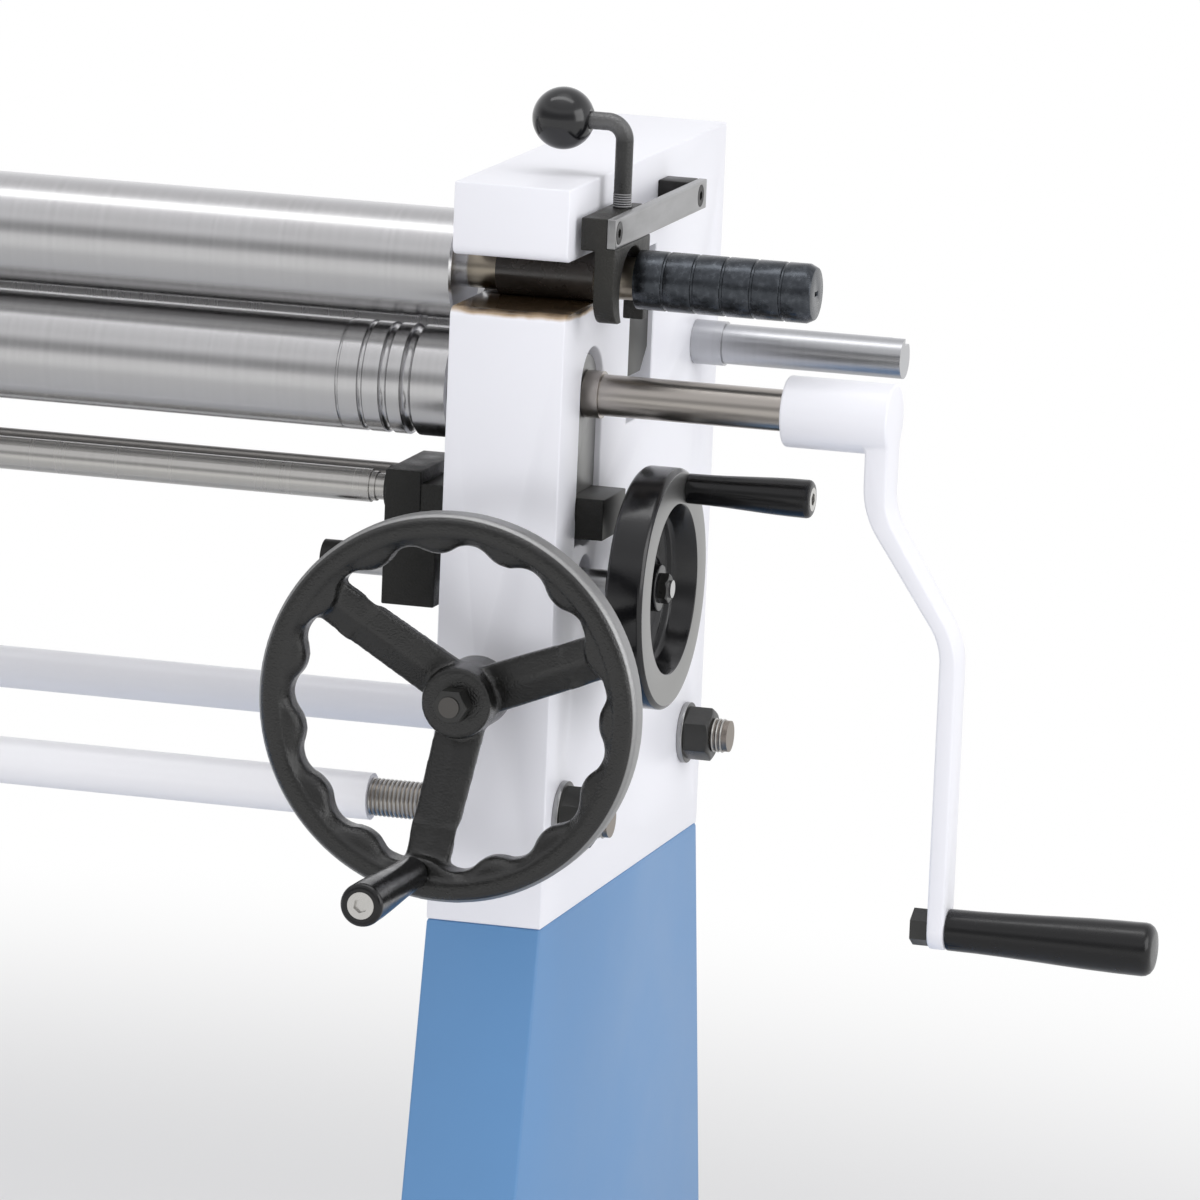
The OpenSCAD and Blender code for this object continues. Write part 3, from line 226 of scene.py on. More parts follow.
def grain(nodes, links, scale, detail=3.0, stretch=(1.0, 1.0, 1.0)):
    # A cloudy pattern that sits still on the piece
    place = nodes.new("ShaderNodeTexCoord")
    lay = nodes.new("ShaderNodeMapping")
    lay.inputs["Scale"].default_value = stretch
    noise = nodes.new("ShaderNodeTexNoise")
    noise.inputs["Scale"].default_value = scale
    noise.inputs["Detail"].default_value = detail
    links.new(place.outputs["Object"], lay.inputs["Vector"])
    links.new(lay.outputs["Vector"], noise.inputs["Vector"])
    return noise.outputs["Fac"]


def relief(nodes, links, bsdf, value, strength, depth):
    # Fine height on the surface, in metres
    bump = nodes.new("ShaderNodeBump")
    bump.inputs["Strength"].default_value = strength
    bump.inputs["Distance"].default_value = depth
    links.new(value, bump.inputs["Height"])
    links.new(bump.outputs["Normal"], bsdf.inputs["Normal"])


peel_scale, peel_depth = 620.0, 0.0004


def paint(name, colour, rough, tint, peel):
    # Sprayed or powder coated paint: faint clouds, an even orange peel
    material, nodes, links, bsdf = finish_nodes(name, colour, rough)
    cloud = grain(nodes, links, scale=9.0, detail=5.0)
    pale = [min(1.0, c * (1.0 + tint)) for c in colour]
    deep = [c * (1.0 - tint) for c in colour]
    links.new(shades(nodes, links, cloud, ((0.30, deep), (0.70, pale))), bsdf.inputs["Base Color"])
    links.new(spread(nodes, links, cloud, rough - 0.04, rough + 0.05), bsdf.inputs["Roughness"])
    orange_peel = grain(nodes, links, scale=peel_scale, detail=2.0)
    relief(nodes, links, bsdf, orange_peel, strength=peel, depth=peel_depth)
    return material


def placed(name, mesh, body, slot, *materials):
    # A finished mesh as a piece that rides on its body
    mesh.shade_smooth()
    mesh.set_sharp_from_angle(angle=math.radians(38))
    mesh.materials.clear()
    for material in materials:
        mesh.materials.append(material)
    piece = bpy.data.objects.new(name, mesh)
    bpy.context.scene.collection.objects.link(piece)
    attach(piece, body)
    return piece


def softened(name, node, materials, edge, segments=2, merge=0.6, choose=None):
    # A solid with its sharp edges rounded, which takes the plain solid's place
    shell = bmesh.new()
    shell.from_mesh(frame["nodes"][node].data)
    bmesh.ops.remove_doubles(shell, verts=shell.verts, dist=0.00001)
    bmesh.ops.dissolve_limit(shell, angle_limit=math.radians(merge), verts=shell.verts, edges=shell.edges)
    sharp = [e for e in shell.edges if len(e.link_faces) == 2 and e.calc_face_angle(0.0) > math.radians(34.0)]
    bmesh.ops.bevel(shell, geom=sharp, offset=edge, segments=segments, profile=0.5, affect="EDGES",
                    clamp_overlap=False)
    if choose:
        for face in shell.faces:
            face.material_index = choose(face.calc_center_median(), face.normal)
    mesh = bpy.data.meshes.new(name)
    shell.to_mesh(mesh)
    shell.free()
    kept = [p.material_index for p in mesh.polygons]
    piece = placed(name, mesh, body_of[node], slot_of[node], *materials)
    mesh.polygons.foreach_set("material_index", kept)
    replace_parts(piece, node)


fold_edge, foot_edge = 0.0022, 0.0012
blue_coat = paint("blue_coat", (0.118, 0.275, 0.528), rough=0.46, tint=0.02, peel=0.08)
for side in ("right", "left"):
    softened("stand_%s_sheet" % side, "stand_" + side, [blue_coat], edge=fold_edge)
    softened("foot_%s_plate" % side, "foot_" + side, [blue_coat], edge=foot_edge)


# Weld beads: a fillet weld runs round the foot of each stand and is painted
# over with it, so only its ripples show.
def group_with(name, sockets):
    # An empty tree with named sizes and a finish
    group = bpy.data.node_groups.new(name, "GeometryNodeTree")
    group.interface.new_socket("Geometry", in_out="INPUT", socket_type="NodeSocketGeometry")
    for label, kind in sockets:
        group.interface.new_socket(label, in_out="INPUT", socket_type=kind)
    group.interface.new_socket("Finish", in_out="INPUT", socket_type="NodeSocketMaterial")
    group.interface.new_socket("Geometry", in_out="OUTPUT", socket_type="NodeSocketGeometry")
    return group, group.nodes.new("NodeGroupInput"), group.nodes.new("NodeGroupOutput")


def finished(group, given, result, geometry):
    # The end of each tree: real meshes in their finish
    real = group.nodes.new("GeometryNodeRealizeInstances")
    dress = group.nodes.new("GeometryNodeSetMaterial")
    group.links.new(geometry, real.inputs[0])
    group.links.new(real.outputs[0], dress.inputs["Geometry"])
    group.links.new(given.outputs["Finish"], dress.inputs["Material"])
    group.links.new(dress.outputs[0], result.inputs[0])


def grown(name, mesh, group, values, body, slot, material):
    # What a tree makes of a few points, as a plain mesh on its body
    holder = bpy.data.objects.new(name + "_layout", mesh)
    bpy.context.scene.collection.objects.link(holder)
    growth = holder.modifiers.new("growth", "NODES")
    growth.node_group = group
    for item in group.interface.items_tree:
        if item.item_type == "SOCKET" and item.in_out == "INPUT" and item.name in values:
            growth[item.identifier] = values[item.name]
    growth[[i.identifier for i in group.interface.items_tree if i.name == "Finish"][0]] = material
    laid = holder.evaluated_get(bpy.context.evaluated_depsgraph_get())
    plain = bpy.data.meshes.new_from_object(laid)
    bpy.data.objects.remove(holder)
    plain.name = name
    return placed(name, plain, body, slot, material)


bead_size, bead_pitch = 0.0034, 0.0036
bead_group, given, result = group_with("bead_of_weld", [("Size", "NodeSocketFloat")])
bead_ripple = bead_group.nodes.new("GeometryNodeMeshIcoSphere")
bead_ripple.inputs["Subdivisions"].default_value = 2
bead_set = bead_group.nodes.new("GeometryNodeInstanceOnPoints")
bead_group.links.new(given.outputs["Size"], bead_ripple.inputs["Radius"])
bead_group.links.new(given.outputs["Geometry"], bead_set.inputs["Points"])
bead_group.links.new(bead_ripple.outputs["Mesh"], bead_set.inputs["Instance"])
finished(bead_group, given, result, bead_set.outputs["Instances"])
(foot_x, foot_y, foot_z), (foot_far_x, foot_far_y, _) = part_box("stand_right")
for side, sign in (("right", 1.0), ("left", -1.0)):
    outline = ((foot_x, foot_y), (foot_far_x, foot_y), (foot_far_x, foot_far_y), (foot_x, foot_far_y))
    corners = [Vector((sign * x, y, foot_z)) for x, y in outline]
    dots = []
    for corner, after in zip(corners, corners[1:] + corners[:1]):
        count = int((after - corner).length / bead_pitch)
        dots += [corner.lerp(after, i / count) for i in range(count)]
    bead_path = bpy.data.meshes.new("weld_path")
    bead_path.from_pydata([tuple(d) for d in dots], [], [])
    grown("weld_" + side, bead_path, bead_group, {"Size": bead_size}, "frame", "stand_blue", blue_coat)

# Housings: solid plates, milled flat and sprayed satin white. Brown grease has
# crept over the lower lip of the right one's throat and into its slot; its near-black core is painted shade.
white_colour, white_rough, white_peel, plate_edge = (0.885, 0.888, 0.945), 0.40, 0.07, 0.0012
# The near-black brown is painted shade deep in the throat, mixed with real grease; the paler brown film is a
# real stain.
grease_and_shade_dark, film_brown = (0.030, 0.017, 0.007), (0.44, 0.27, 0.10)
grease_and_shade_place, grease_and_shade_reach = (0.695, -0.150, 1.0160), (0.075, 0.062, 0.0055)
white_paint = paint("white_paint", white_colour, rough=white_rough, tint=0.008, peel=white_peel)
throat_white, nodes, links, bsdf = finish_nodes("throat_white", white_colour, white_rough)
smear_and_shade_lay = added(nodes, "ShaderNodeMapping", vector_type="TEXTURE")
smear_and_shade_lay.inputs["Location"].default_value = grease_and_shade_place
smear_and_shade_lay.inputs["Scale"].default_value = grease_and_shade_reach
smear_and_shade_far = added(nodes, "ShaderNodeVectorMath", operation="LENGTH")
smear_and_shade = added(nodes, "ShaderNodeMath", operation="MULTIPLY_ADD")
smear_and_shade.inputs[1].default_value = 0.5
links.new(nodes.new("ShaderNodeTexCoord").outputs["Object"], smear_and_shade_lay.inputs["Vector"])
links.new(smear_and_shade_lay.outputs["Vector"], smear_and_shade_far.inputs[0])
links.new(grain(nodes, links, scale=55.0, detail=4.0), smear_and_shade.inputs[0])
links.new(smear_and_shade_far.outputs["Value"], smear_and_shade.inputs[2])
# Near the middle the colour turns near-black: painted shade in the throat, with some grease; further out the
# real brown film.
grease_and_shade_share = spread(nodes, links, smear_and_shade.outputs[0], low=0.96, high=0.0, start=0.90, stop=1.22)
film_share = spread(nodes, links, smear_and_shade.outputs[0], low=0.85, high=0.0, start=1.12, stop=1.42)
film = joined(nodes, links, film_share, white_colour, film_brown)
links.new(joined(nodes, links, grease_and_shade_share, film, grease_and_shade_dark), bsdf.inputs["Base Color"])
greasy = spread(nodes, links, grease_and_shade_share, low=white_rough, high=0.16, start=0.0, stop=0.9)
links.new(greasy, bsdf.inputs["Roughness"])
orange_peel = grain(nodes, links, scale=peel_scale, detail=2.0)
relief(nodes, links, bsdf, orange_peel, strength=white_peel, depth=peel_depth)
softened("housing_right_plate", "housing_right", [throat_white], edge=plate_edge)
softened("housing_left_plate", "housing_left", [white_paint], edge=plate_edge)


# Ties: white tubes over long studs that hold the housings apart, drawn up
# outside each housing with a bright washer and a blackened nut.
def distance_from(nodes, links, centre, directions):
    # How far the surface lies from a centre, along the given directions only
    middle = added(nodes, "ShaderNodeVectorMath", operation="SUBTRACT")
    middle.inputs[1].default_value = centre
    across = added(nodes, "ShaderNodeVectorMath", operation="MULTIPLY")
    across.inputs[1].default_value = directions
    radius = added(nodes, "ShaderNodeVectorMath", operation="LENGTH")
    links.new(nodes.new("ShaderNodeTexCoord").outputs["Object"], middle.inputs[0])
    links.new(middle.outputs[0], across.inputs[0])
    links.new(across.outputs[0], radius.inputs[0])
    return radius.outputs["Value"]


def turned_steel(name, colour, rough, axis=(0.0, 0.0), band=0.02, marks=230.0, stain=0.10, oil_and_shade_from=None):
    # Steel with the rings that a lathe or grinder leaves round the piece's axis
    material, nodes, links, bsdf = finish_nodes(name, colour, rough, 1.0)
    parts = nodes.new("ShaderNodeSeparateXYZ")
    travel = nodes.new("ShaderNodeMath")
    links.new(nodes.new("ShaderNodeTexCoord").outputs["Object"], parts.inputs[0])
    links.new(parts.outputs["X"], travel.inputs[0])
    links.new(distance_from(nodes, links, (0.0, *axis), (0.0, 1.0, 1.0)), travel.inputs[1])
    rings = []
    for scale, detail in ((marks, 3.0), (26.0, 2.0)):
        noise = added(nodes, "ShaderNodeTexNoise", noise_dimensions="1D")
        noise.inputs["Scale"].default_value = scale
        noise.inputs["Detail"].default_value = detail
        links.new(travel.outputs[0], noise.inputs["W"])
        rings.append(noise.outputs["Fac"])
    pale = [min(1.0, c * (1.0 + band)) for c in colour]
    deep = [c * (1.0 - band) for c in colour]
    ground = shades(nodes, links, rings[0], ((0.30, deep), (0.70, pale)))
    touched = spread(nodes, links, grain(nodes, links, scale=7.0, detail=5.0), 0.0, stain, 0.48, 0.72)
    tone = joined(nodes, links, touched, ground, (colour[0] * 0.62, colour[1] * 0.56, colour[2] * 0.48))
    worn = spread(nodes, links, joined(nodes, links, 0.5, *rings), rough - 0.015, rough + 0.025)
    # Beyond a given X the steel turns brown: real oil on the lower roll's shaft, painted shade on the top
    # roll's neck in the throat.
    if oil_and_shade_from:
        begin, oil_and_shade_tint = oil_and_shade_from
        oiled_and_shaded = spread(nodes, links, parts.outputs["X"], 0.0, 1.0, begin, begin + 0.002)
        tone = joined(nodes, links, oiled_and_shaded, tone, oil_and_shade_tint)
        worn = joined(nodes, links, oiled_and_shaded, worn, (rough + 0.05,) * 3)
    links.new(tone, bsdf.inputs["Base Color"])
    links.new(worn, bsdf.inputs["Roughness"])
    relief(nodes, links, bsdf, rings[0], strength=0.02, depth=0.00001)
    return material


def blackened(name, colour, rough, gloss=0.35, pits=0.25):
    # Black oxide or rough black iron: mottled, with fine pits
    material, nodes, links, bsdf = finish_nodes(name, colour, rough)
    cloud = grain(nodes, links, scale=48.0, detail=6.0)
    pale = [c * 1.8 for c in colour]
    links.new(shades(nodes, links, cloud, ((0.38, colour), (0.78, pale))), bsdf.inputs["Base Color"])
    links.new(spread(nodes, links, cloud, rough - 0.10, rough + 0.12), bsdf.inputs["Roughness"])
    bsdf.inputs["Specular IOR Level"].default_value = gloss
    relief(nodes, links, bsdf, grain(nodes, links, scale=700.0, detail=6.0), strength=pits, depth=0.0011)
    return material


def coat(material, *cad_nodes):
    # A finish on solids whose shape is right as it is
    for cad_node in cad_nodes:
        cad = frame["nodes"][cad_node]
        cad.data.materials.clear()
        cad.data.materials.append(material)


thread_sockets = [("Radius", "NodeSocketFloat"), ("Pitch", "NodeSocketFloat"), ("Turns", "NodeSocketInt"),
                  ("Start", "NodeSocketVector"), ("Tilt", "NodeSocketVector")]
thread_group, given, result = group_with("turns_of_thread", thread_sockets)
thread_path = thread_group.nodes.new("GeometryNodeCurvePrimitiveCircle")
thread_path.inputs["Resolution"].default_value = 48
thread_crest = thread_group.nodes.new("GeometryNodeCurvePrimitiveCircle")
thread_crest.inputs["Resolution"].default_value = 6
crest_share = added(thread_group.nodes, "ShaderNodeMath", operation="MULTIPLY")
crest_share.inputs[1].default_value = 0.34
thread_turn = thread_group.nodes.new("GeometryNodeCurveToMesh")
thread_step = thread_group.nodes.new("ShaderNodeCombineXYZ")
thread_row = thread_group.nodes.new("GeometryNodeMeshLine")
thread_set = thread_group.nodes.new("GeometryNodeInstanceOnPoints")
thread_lay = thread_group.nodes.new("GeometryNodeTransform")
for start, end in ((given.outputs["Radius"], thread_path.inputs["Radius"]),
                   (given.outputs["Pitch"], crest_share.inputs[0]),
                   (crest_share.outputs[0], thread_crest.inputs["Radius"]),
                   (thread_path.outputs[0], thread_turn.inputs["Curve"]),
                   (thread_crest.outputs[0], thread_turn.inputs["Profile Curve"]),
                   (given.outputs["Pitch"], thread_step.inputs["Z"]),
                   (given.outputs["Turns"], thread_row.inputs["Count"]),
                   (thread_step.outputs[0], thread_row.inputs["Offset"]),
                   (thread_row.outputs[0], thread_set.inputs["Points"]),
                   (thread_turn.outputs[0], thread_set.inputs["Instance"]),
                   (thread_set.outputs[0], thread_lay.inputs["Geometry"]),
                   (given.outputs["Start"], thread_lay.inputs["Translation"]),
                   (given.outputs["Tilt"], thread_lay.inputs["Rotation"])):
    thread_group.links.new(start, end)
finished(thread_group, given, result, thread_lay.outputs[0])
along_x, along_y, along_z = (0.0, math.pi / 2, 0.0), (math.pi / 2, 0.0, 0.0), (0.0, 0.0, 0.0)


def threads(name, start, tilt, radius, pitch, length, body, slot, material):
    # Rounded thread turns, one to each pitch
    values = {"Radius": radius, "Pitch": pitch, "Turns": int(length / pitch), "Start": start, "Tilt": tilt}
    grown(name, bpy.data.meshes.new(name + "_seed"), thread_group, values, body, slot, material)


tie_axis = (-0.156, 0.671)
tube_white = paint("tube_white", (0.89, 0.89, 0.93), rough=0.33, tint=0.01, peel=0.05)
stud_steel = turned_steel("stud_steel", (0.46, 0.45, 0.43), rough=0.30, axis=tie_axis)
stud_root = turned_steel("stud_root", (0.25, 0.22, 0.19), rough=0.38, axis=tie_axis)
washer_zinc = turned_steel("washer_zinc", (0.36, 0.36, 0.36), rough=0.34, axis=tie_axis)
black_oxide = blackened("black_oxide", (0.010, 0.0095, 0.009), rough=0.42)
nut_black = blackened("nut_black", (0.016, 0.016, 0.015), rough=0.36, gloss=0.5, pits=0.12)
coat(tube_white, "tie_tube_front", "tie_tube_rear")
coat(stud_root, "tie_studs")
housing_in, housing_out = 0.649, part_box("housing_right")[1][0]
washer_thick, nut_edge, stud_pitch = 0.004, 0.0005, 0.0030
softened("tie_nuts_and_washers", "tie_nuts", [nut_black, washer_zinc], edge=nut_edge,
         choose=lambda c, n: 1 if abs(c.x) < housing_out + washer_thick + 0.0003 and abs(n.x) < 0.6 else 0)
for name, radius in (("front", 0.0120), ("rear", 0.0110)):
    tube_low, tube_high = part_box("tie_tube_" + name)
    y, z = (tube_low[1] + tube_high[1]) / 2, (tube_low[2] + tube_high[2]) / 2
    nut_end = housing_out + washer_thick + 1.6 * radius
    runs = (("bare", tube_high[0] + 0.001, housing_in), ("tip", nut_end + 0.0012, nut_end + 0.0110))
    for side, sign in (("right", 1.0), ("left", -1.0)):
        for run, near, far in runs:
            start = (sign * near if sign > 0 else -far, y, z)
            threads("stud_%s_%s_%s" % (name, side, run), start, along_x, radius, stud_pitch, far - near,
                    "frame", "zinc_steel", stud_steel)

# Gears: a pair with long teeth under a pressed cover on the left housing, held
# by four small hexagon screws.
pinch_y, top_z, lower_z = -0.123, 1.0335, 0.9535
gear_steel = turned_steel("gear_steel", (0.30, 0.30, 0.30), rough=0.42, axis=(pinch_y, 0.99))
coat(gear_steel, "top_gear", "lower_gear")
softened("gear_cover_pressing", "gear_cover", [white_paint], edge=0.0005)
screw_half, head_edge = 0.005, 0.0003
head_steps = ((32, screw_half, 0.0005, 0.001), (6, 0.0045, 0.0025, 0.003))
screw_low, screw_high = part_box("cover_screws")
heads = bmesh.new()
for y in (screw_low[1] + screw_half, screw_high[1] - screw_half):
    for z in (screw_low[2] + screw_half, screw_high[2] - screw_half):
        for sides, wide, inward, tall in head_steps:
            turn = Matrix.Translation((screw_high[0] - inward, y, z)) @ Matrix.Rotation(math.pi / 2, 4, "Y")
            made = bmesh.ops.create_cone(heads, cap_ends=True, segments=sides, radius1=wide, radius2=wide,
                                         depth=tall, matrix=turn)
            edges = dict.fromkeys(edge for corner in made["verts"] for edge in corner.link_edges)
            rim = [edge for edge in edges if edge.calc_face_angle(0.0) > 0.6]
            bmesh.ops.bevel(heads, geom=rim, offset=head_edge, segments=2, profile=0.5, affect="EDGES")
head_mesh = bpy.data.meshes.new("cover_screw_heads")
heads.to_mesh(head_mesh)
heads.free()
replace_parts(placed("cover_screw_heads", head_mesh, "frame", "zinc_steel", nut_black), "cover_screws")

# Top roll: ground steel, running in a dark sleeve that lifts out of the throat,
# and a ball swivel in the left housing. Its free end has a ringed steel grip.
roll_grey, roll_rough, top_axis = (0.53, 0.527, 0.53), 0.24, (pinch_y, top_z)
# The top roll's neck inside the throat is tinted dark brown: painted shade, with some oil.
neck_from, neck_oil_and_shade = 0.6425, (0.30, 0.265, 0.215)
top_steel = turned_steel("top_roll_steel", roll_grey, rough=roll_rough, axis=top_axis,
                         oil_and_shade_from=(neck_from, neck_oil_and_shade))
coat(top_steel, "top_roll")
coat(turned_steel("swivel_bronze", (0.42, 0.33, 0.18), rough=0.36, axis=top_axis), "top_swivel")
coat(blackened("sleeve_dark", (0.020, 0.016, 0.013), rough=0.24, gloss=0.7, pits=0.05), "top_bush")
grip_blued, nodes, links, bsdf = finish_nodes("grip_blued", (0.040, 0.045, 0.052), rough=0.30, metal=0.9)
scuffs = grain(nodes, links, scale=240.0, detail=8.0)
scuff_stops = ((0.30, (0.045, 0.050, 0.057)), (0.55, (0.062, 0.068, 0.077)), (0.78, (0.105, 0.114, 0.127)))
links.new(shades(nodes, links, scuffs, scuff_stops), bsdf.inputs["Base Color"])
links.new(spread(nodes, links, scuffs, 0.20, 0.30), bsdf.inputs["Roughness"])
relief(nodes, links, bsdf, grain(nodes, links, scale=420.0, detail=5.0), strength=0.30, depth=0.0003)
softened("pull_grip_turned", "pull_grip", [grip_blued], edge=0.0005)


# Latch: a blackened yoke and block drop over the sleeve, on a ground flat arm
# that pivots behind. A cranked lever with a ball knob is screwed into the block.
def moulded(name, colour, rough, pits, gloss):
    # Glossy black plastic or enamel with a faintly uneven skin
    material, nodes, links, bsdf = finish_nodes(name, colour, rough)
    cloud = grain(nodes, links, scale=60.0, detail=4.0)
    links.new(spread(nodes, links, cloud, rough - 0.04, rough + 0.08), bsdf.inputs["Roughness"])
    bsdf.inputs["Specular IOR Level"].default_value = gloss
    relief(nodes, links, bsdf, grain(nodes, links, scale=700.0, detail=2.0), strength=pits, depth=0.0002)
    return material


arm_steel, nodes, links, bsdf = finish_nodes("arm_steel", (0.36, 0.36, 0.365), rough=0.38, metal=0.85)
mill = grain(nodes, links, scale=16.0, detail=7.0, stretch=(1.0, 1.0, 3.0))
mill_stops = ((0.34, (0.26, 0.26, 0.26)), (0.66, (0.40, 0.40, 0.405)))
links.new(shades(nodes, links, mill, mill_stops), bsdf.inputs["Base Color"])
links.new(spread(nodes, links, mill, 0.34, 0.48), bsdf.inputs["Roughness"])
strokes = grain(nodes, links, scale=260.0, detail=5.0, stretch=(1.0, 0.15, 1.0))
relief(nodes, links, bsdf, strokes, strength=0.15, depth=0.0002)
yoke_iron = blackened("yoke_iron", (0.014, 0.0135, 0.0115), rough=0.44, gloss=0.40, pits=0.8)
softened("latch_pad", "latch_block", [black_oxide], edge=0.0008)
softened("latch_bar", "latch_arm", [arm_steel], edge=0.0007)
softened("latch_hook", "latch_yoke", [yoke_iron], edge=0.0010)
coat(black_oxide, "latch_pin", "latch_screw")
lever_radius, lever_rubbed_from, lever_bright_from = 0.006, 1.1250, 1.1360
lever_black = blackened("lever_black", (0.016, 0.016, 0.0155), rough=0.34, gloss=0.50, pits=0.5)
nodes, links = lever_black.node_tree.nodes, lever_black.node_tree.links
bsdf = nodes["Principled BSDF"]
height = nodes.new("ShaderNodeSeparateXYZ")
links.new(nodes.new("ShaderNodeTexCoord").outputs["Object"], height.inputs[0])
rubbed = spread(nodes, links, height.outputs["Z"], low=0.0, high=0.75,
                start=lever_rubbed_from, stop=lever_bright_from)
lever_colour = bsdf.inputs["Base Color"].links[0].from_socket
links.new(joined(nodes, links, rubbed, lever_colour, (0.19, 0.19, 0.19)), bsdf.inputs["Base Color"])
links.new(rubbed, bsdf.inputs["Metallic"])
coat(lever_black, "latch_lever")
lever_low, lever_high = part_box("latch_lever")
lever_x, lever_y = lever_high[0] - lever_radius, (lever_low[1] + lever_high[1]) / 2
lever_foot = (lever_x, lever_y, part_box("latch_yoke")[1][2] + 0.0012)
threads("lever_thread", lever_foot, along_z, radius=0.0058, pitch=0.0016, length=0.010,
        body="latch", slot="zinc_steel", material=arm_steel)
coat(moulded("ball_black", (0.006, 0.006, 0.007), rough=0.13, pits=0.01, gloss=0.6), "latch_ball")

# Lower roll and its carriage: ground steel in grey bearing blocks. The blocks
# stand on black bars whose brackets carry the two cross rods.
lower_axis, bar_axis, rod_z = (pinch_y, lower_z), (pinch_y, 0.87), 0.8775
shaft_from, shaft_oil = 0.722, (0.43, 0.40, 0.37)
lower_steel = turned_steel("lower_roll_steel", roll_grey, rough=roll_rough, axis=lower_axis,
                           oil_and_shade_from=(shaft_from, shaft_oil))
coat(lower_steel, "lower_roll")
block_grey = turned_steel("block_grey", (0.30, 0.30, 0.295), rough=0.42, axis=lower_axis, marks=90.0)
bar_black = blackened("bar_black", (0.007, 0.007, 0.006), rough=0.40, gloss=0.35, pits=0.7)
bar_faced = turned_steel("bar_faced", (0.10, 0.10, 0.095), rough=0.46, axis=bar_axis, marks=120.0)
for side in ("right", "left"):
    softened("lower_block_%s_bearing" % side, "lower_block_" + side, [block_grey], edge=0.0006)
    softened("rear_block_%s_bearing" % side, "rear_block_" + side, [bar_faced], edge=0.0006)
    softened("lift_block_%s_bar" % side, "lift_block_" + side, [bar_black, bar_faced], edge=0.0008,
             choose=lambda c, n: 1 if abs(n.x) > 0.9 or n.z > 0.9 else 0)
    softened("lift_bracket_%s_casting" % side, "lift_bracket_" + side, [bar_black], edge=0.0010)
coat(turned_steel("rod_steel", (0.50, 0.49, 0.47), rough=0.26, axis=(pinch_y, rod_z)), "cross_rod")
coat(turned_steel("rod_dark", (0.24, 0.23, 0.22), rough=0.30, axis=(-0.078, rod_z)), "cross_rod_rear")

# Side handwheel: a black enamelled casting with its ring face turned bright,
# on a steel shaft with a black collar. The grip's steel cap has a socket.
side_low, side_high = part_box("side_wheel")
side_axis = ((side_low[1] + side_high[1]) / 2, (side_low[2] + side_high[2]) / 2)
side_enamel = moulded("side_enamel", (0.004, 0.004, 0.005), rough=0.17, pits=0.22, gloss=0.5)
side_faced = turned_steel("side_faced", (0.335, 0.335, 0.33), rough=0.44, axis=side_axis, marks=500.0)
softened("side_wheel_casting", "side_wheel", [side_enamel, side_faced], edge=0.0010, segments=3, merge=0.02,
         choose=lambda c, n: 1 if n.x > 0.97 and c.x > side_high[0] - 0.0006 else 0)
spindle_bright = turned_steel("spindle_bright", (0.56, 0.55, 0.53), rough=0.27, axis=side_axis)
grip_black = moulded("grip_black", (0.004, 0.004, 0.0045), rough=0.22, pits=0.06, gloss=0.42)
coat(turned_steel("side_shaft_steel", (0.50, 0.50, 0.50), rough=0.28, axis=side_axis), "side_shaft")
coat(black_oxide, "side_collar")
coat(nut_black, "side_nut")
coat(spindle_bright, "side_spindle")
coat(grip_black, "side_grip")

# Crank: a thick flat bar bent outwards and welded to a long hub, sprayed
# satin white. Its handle is a glossy black moulding that turns on a bolt.
crank_white = paint("crank_white", white_colour, rough=0.34, tint=0.008, peel=0.05)
softened("crank_bar", "crank_arm", [crank_white], edge=0.0020, segments=3)
softened("crank_handle", "crank_grip", [grip_black], edge=0.0006)
coat(nut_black, "crank_nut")

# Rear roll and rear shaft: ground steel like the pinch rolls, with the rear roll's
# steel painted darker as shade. The shaft ends in a notch on the right.
rear_axis, shaft_axis = (-0.005, 0.985), (0.137, 0.953)
# The rear roll's grey is darker than the pinch rolls' as painted shade.
coat(turned_steel("rear_roll_shaded_steel", (0.40, 0.397, 0.40), rough=0.27, axis=rear_axis), "rear_roll")
coat(turned_steel("rear_shaft_steel", (0.47, 0.475, 0.49), rough=0.30, axis=shaft_axis), "rear_shaft")

# Front handwheels: black iron castings with a waved inner edge and ridged
# spokes. Casting rounds their edges, and the rim is turned bright outside.
wheel_cast = blackened("wheel_cast", (0.0055, 0.0055, 0.005), rough=0.20, gloss=0.60, pits=0.40)


def turned_rim(name, casting, x, z, reach):
    # The casting's black, bare and bright beyond a given distance from the hub
    material = casting.copy()
    material.name = name
    nodes, links = material.node_tree.nodes, material.node_tree.links
    bsdf = nodes["Principled BSDF"]
    radius = distance_from(nodes, links, (x, 0.0, z), (1.0, 0.0, 1.0))
    bare = spread(nodes, links, radius, 0.0, 1.0, reach, reach + 0.0008)
    black = bsdf.inputs["Base Color"].links[0].from_socket
    smooth = bsdf.inputs["Roughness"].links[0].from_socket
    links.new(joined(nodes, links, bare, black, (0.33, 0.33, 0.33)), bsdf.inputs["Base Color"])
    links.new(joined(nodes, links, bare, smooth, (0.42, 0.42, 0.42)), bsdf.inputs["Roughness"])
    links.new(bare, bsdf.inputs["Metallic"])
    return material


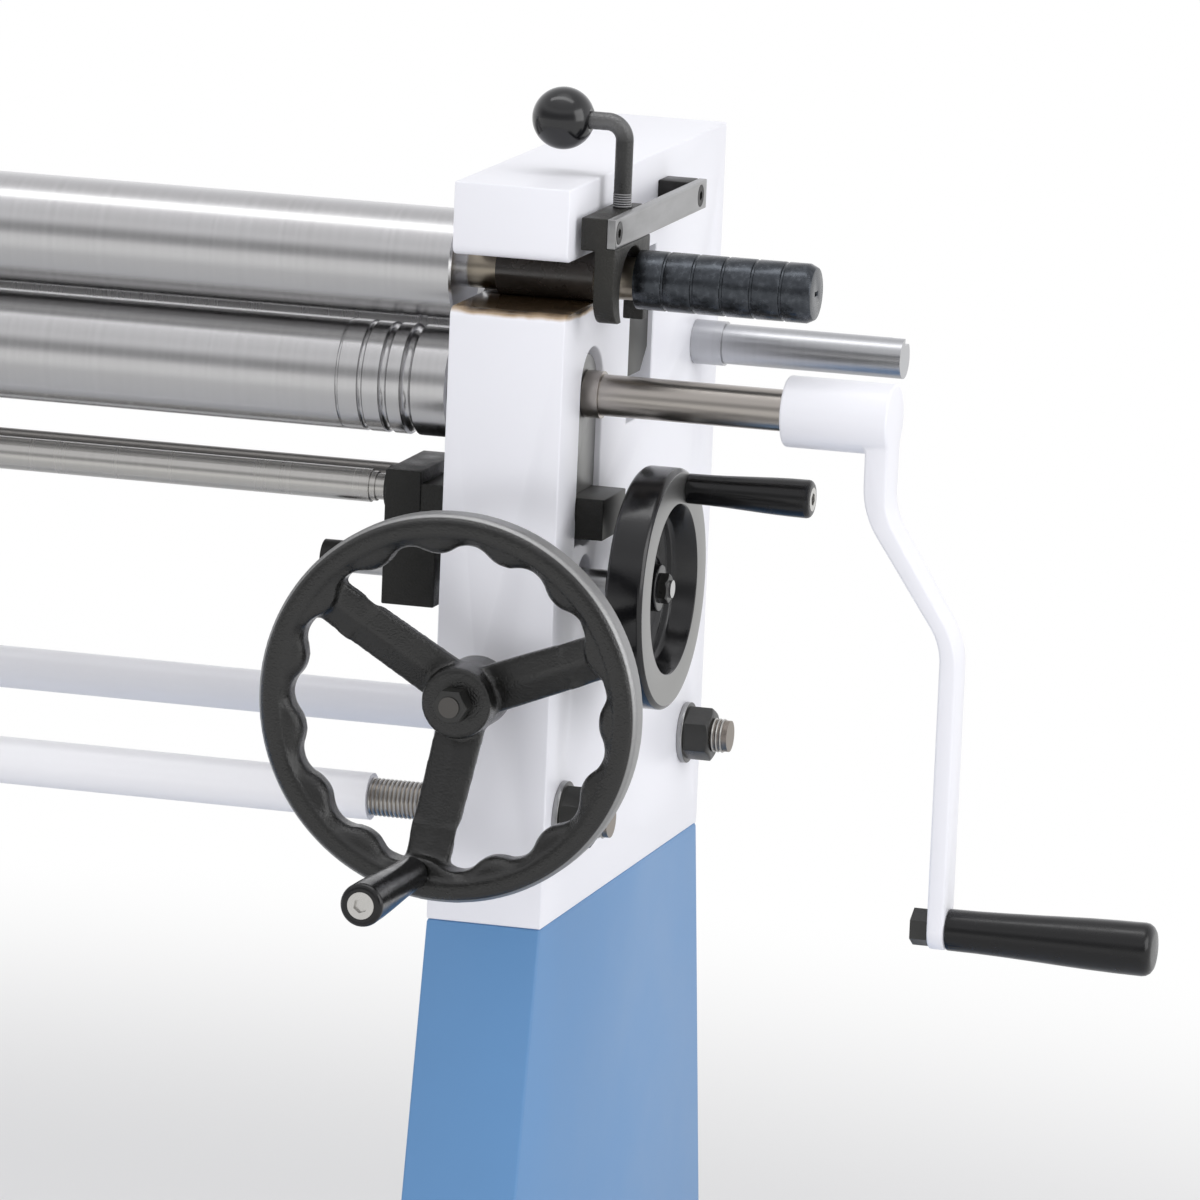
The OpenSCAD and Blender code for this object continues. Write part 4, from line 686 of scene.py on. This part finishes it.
cast_voxel, bare_band, rim_band, wave_band = 0.0016, 0.0026, 0.0130, (0.0480, 0.0150)
wave_steps, wave_width, wave_round = 180, 0.0095, 0.0085
key_size, key_drop, key_edge = (0.0042, 0.0024, 0.0034, 1.0), 0.0115, 0.0006
screw_start, screw_radius, screw_pitch, screw_length = -0.1955, 0.0110, 0.0045, 0.031
for side in ("right", "left"):
    node = "wheel_" + side
    low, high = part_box(node)
    mid_x, mid_z, reach = (low[0] + high[0]) / 2, (low[2] + high[2]) / 2, (high[2] - low[2]) / 2

    # One even skin over rim, spokes and hub
    blank = bpy.data.objects.new("wheel_blank", frame["nodes"][node].data.copy())
    bpy.context.scene.collection.objects.link(blank)
    skin = blank.modifiers.new("skin", "REMESH")
    skin.mode = "VOXEL"
    skin.voxel_size = cast_voxel
    fine = bpy.data.meshes.new_from_object(blank.evaluated_get(bpy.context.evaluated_depsgraph_get()))
    bpy.data.objects.remove(blank)
    shell = bmesh.new()
    shell.from_mesh(fine)

    # Where the waved edge lies, step by step round the wheel
    far = {v: math.hypot(v.co.x - mid_x, v.co.z - mid_z) for v in shell.verts}
    waves = [v for v in shell.verts if reach - wave_band[0] < far[v] < reach - wave_band[1]]
    turn_at = {v: math.atan2(v.co.z - mid_z, v.co.x - mid_x) + math.pi for v in waves}
    step = {v: int(turn_at[v] / math.tau * wave_steps) % wave_steps for v in waves}
    edge_at = [1.0] * wave_steps
    for v in waves:
        edge_at[step[v]] = min(edge_at[step[v]], far[v])
    edge_at = [(edge_at[i - 1] + edge_at[i] + edge_at[(i + 1) % wave_steps]) / 3 for i in range(wave_steps)]

    # The waves are rounded like a cushion towards that edge, then all is eased
    depths = [v.co.y for v in waves]
    mid_y, half = (min(depths) + max(depths)) / 2, (max(depths) - min(depths)) / 2
    for v in waves:
        into = max(0.0, min(1.0, 1.0 - (far[v] - edge_at[step[v]]) / wave_width))
        thin = wave_round * (1.0 - math.sqrt(1.0 - into * into * 0.98))
        v.co.y = mid_y + (v.co.y - mid_y) * (half - thin) / half
    inner = [v for v in shell.verts if far[v] < reach - rim_band]
    outer = [v for v in shell.verts if far[v] >= reach - rim_band]
    for rounds, ring in ((4, waves), (4, inner), (2, outer)):
        for _ in range(rounds):
            bmesh.ops.smooth_vert(shell, verts=ring, factor=0.5,
                                  use_axis_x=True, use_axis_y=True, use_axis_z=True)
    shell.to_mesh(fine)
    shell.free()
    fine.name = node + "_casting"
    iron = turned_rim("wheel_iron_" + side, wheel_cast, mid_x, mid_z, reach - bare_band)
    cast = placed(node + "_casting", fine, body_of[node], slot_of[node], iron)
    fine.set_sharp_from_angle(angle=math.radians(80))
    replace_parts(cast, node)

    # The key under the nut, and the turns of the screw behind the hub
    key = bmesh.new()
    key_place = Matrix.Translation((mid_x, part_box("wheel_nut_" + side)[1][1], mid_z - key_drop))
    bmesh.ops.create_cube(key, size=1.0, matrix=key_place @ Matrix.Diagonal(key_size))
    bmesh.ops.bevel(key, geom=key.edges[:], offset=key_edge, segments=2, profile=0.5, affect="EDGES")
    key_mesh = bpy.data.meshes.new("wheel_key_" + side)
    key.to_mesh(key_mesh)
    key.free()
    placed("wheel_key_" + side, key_mesh, body_of[node], slot_of["wheel_nut_" + side], nut_black)
    threads("screw_%s_thread" % side, (mid_x, screw_start, mid_z), along_y, screw_radius, screw_pitch,
            screw_length, body_of[node], slot_of["screw_" + side], stud_steel)
coat(turned_steel("screw_dark", (0.11, 0.105, 0.10), rough=0.36), "screw_right", "screw_left")
coat(nut_black, "wheel_nut_right", "wheel_nut_left")
coat(spindle_bright, "wheel_spindle_right", "wheel_spindle_left")
coat(grip_black, "wheel_grip_right", "wheel_grip_left")
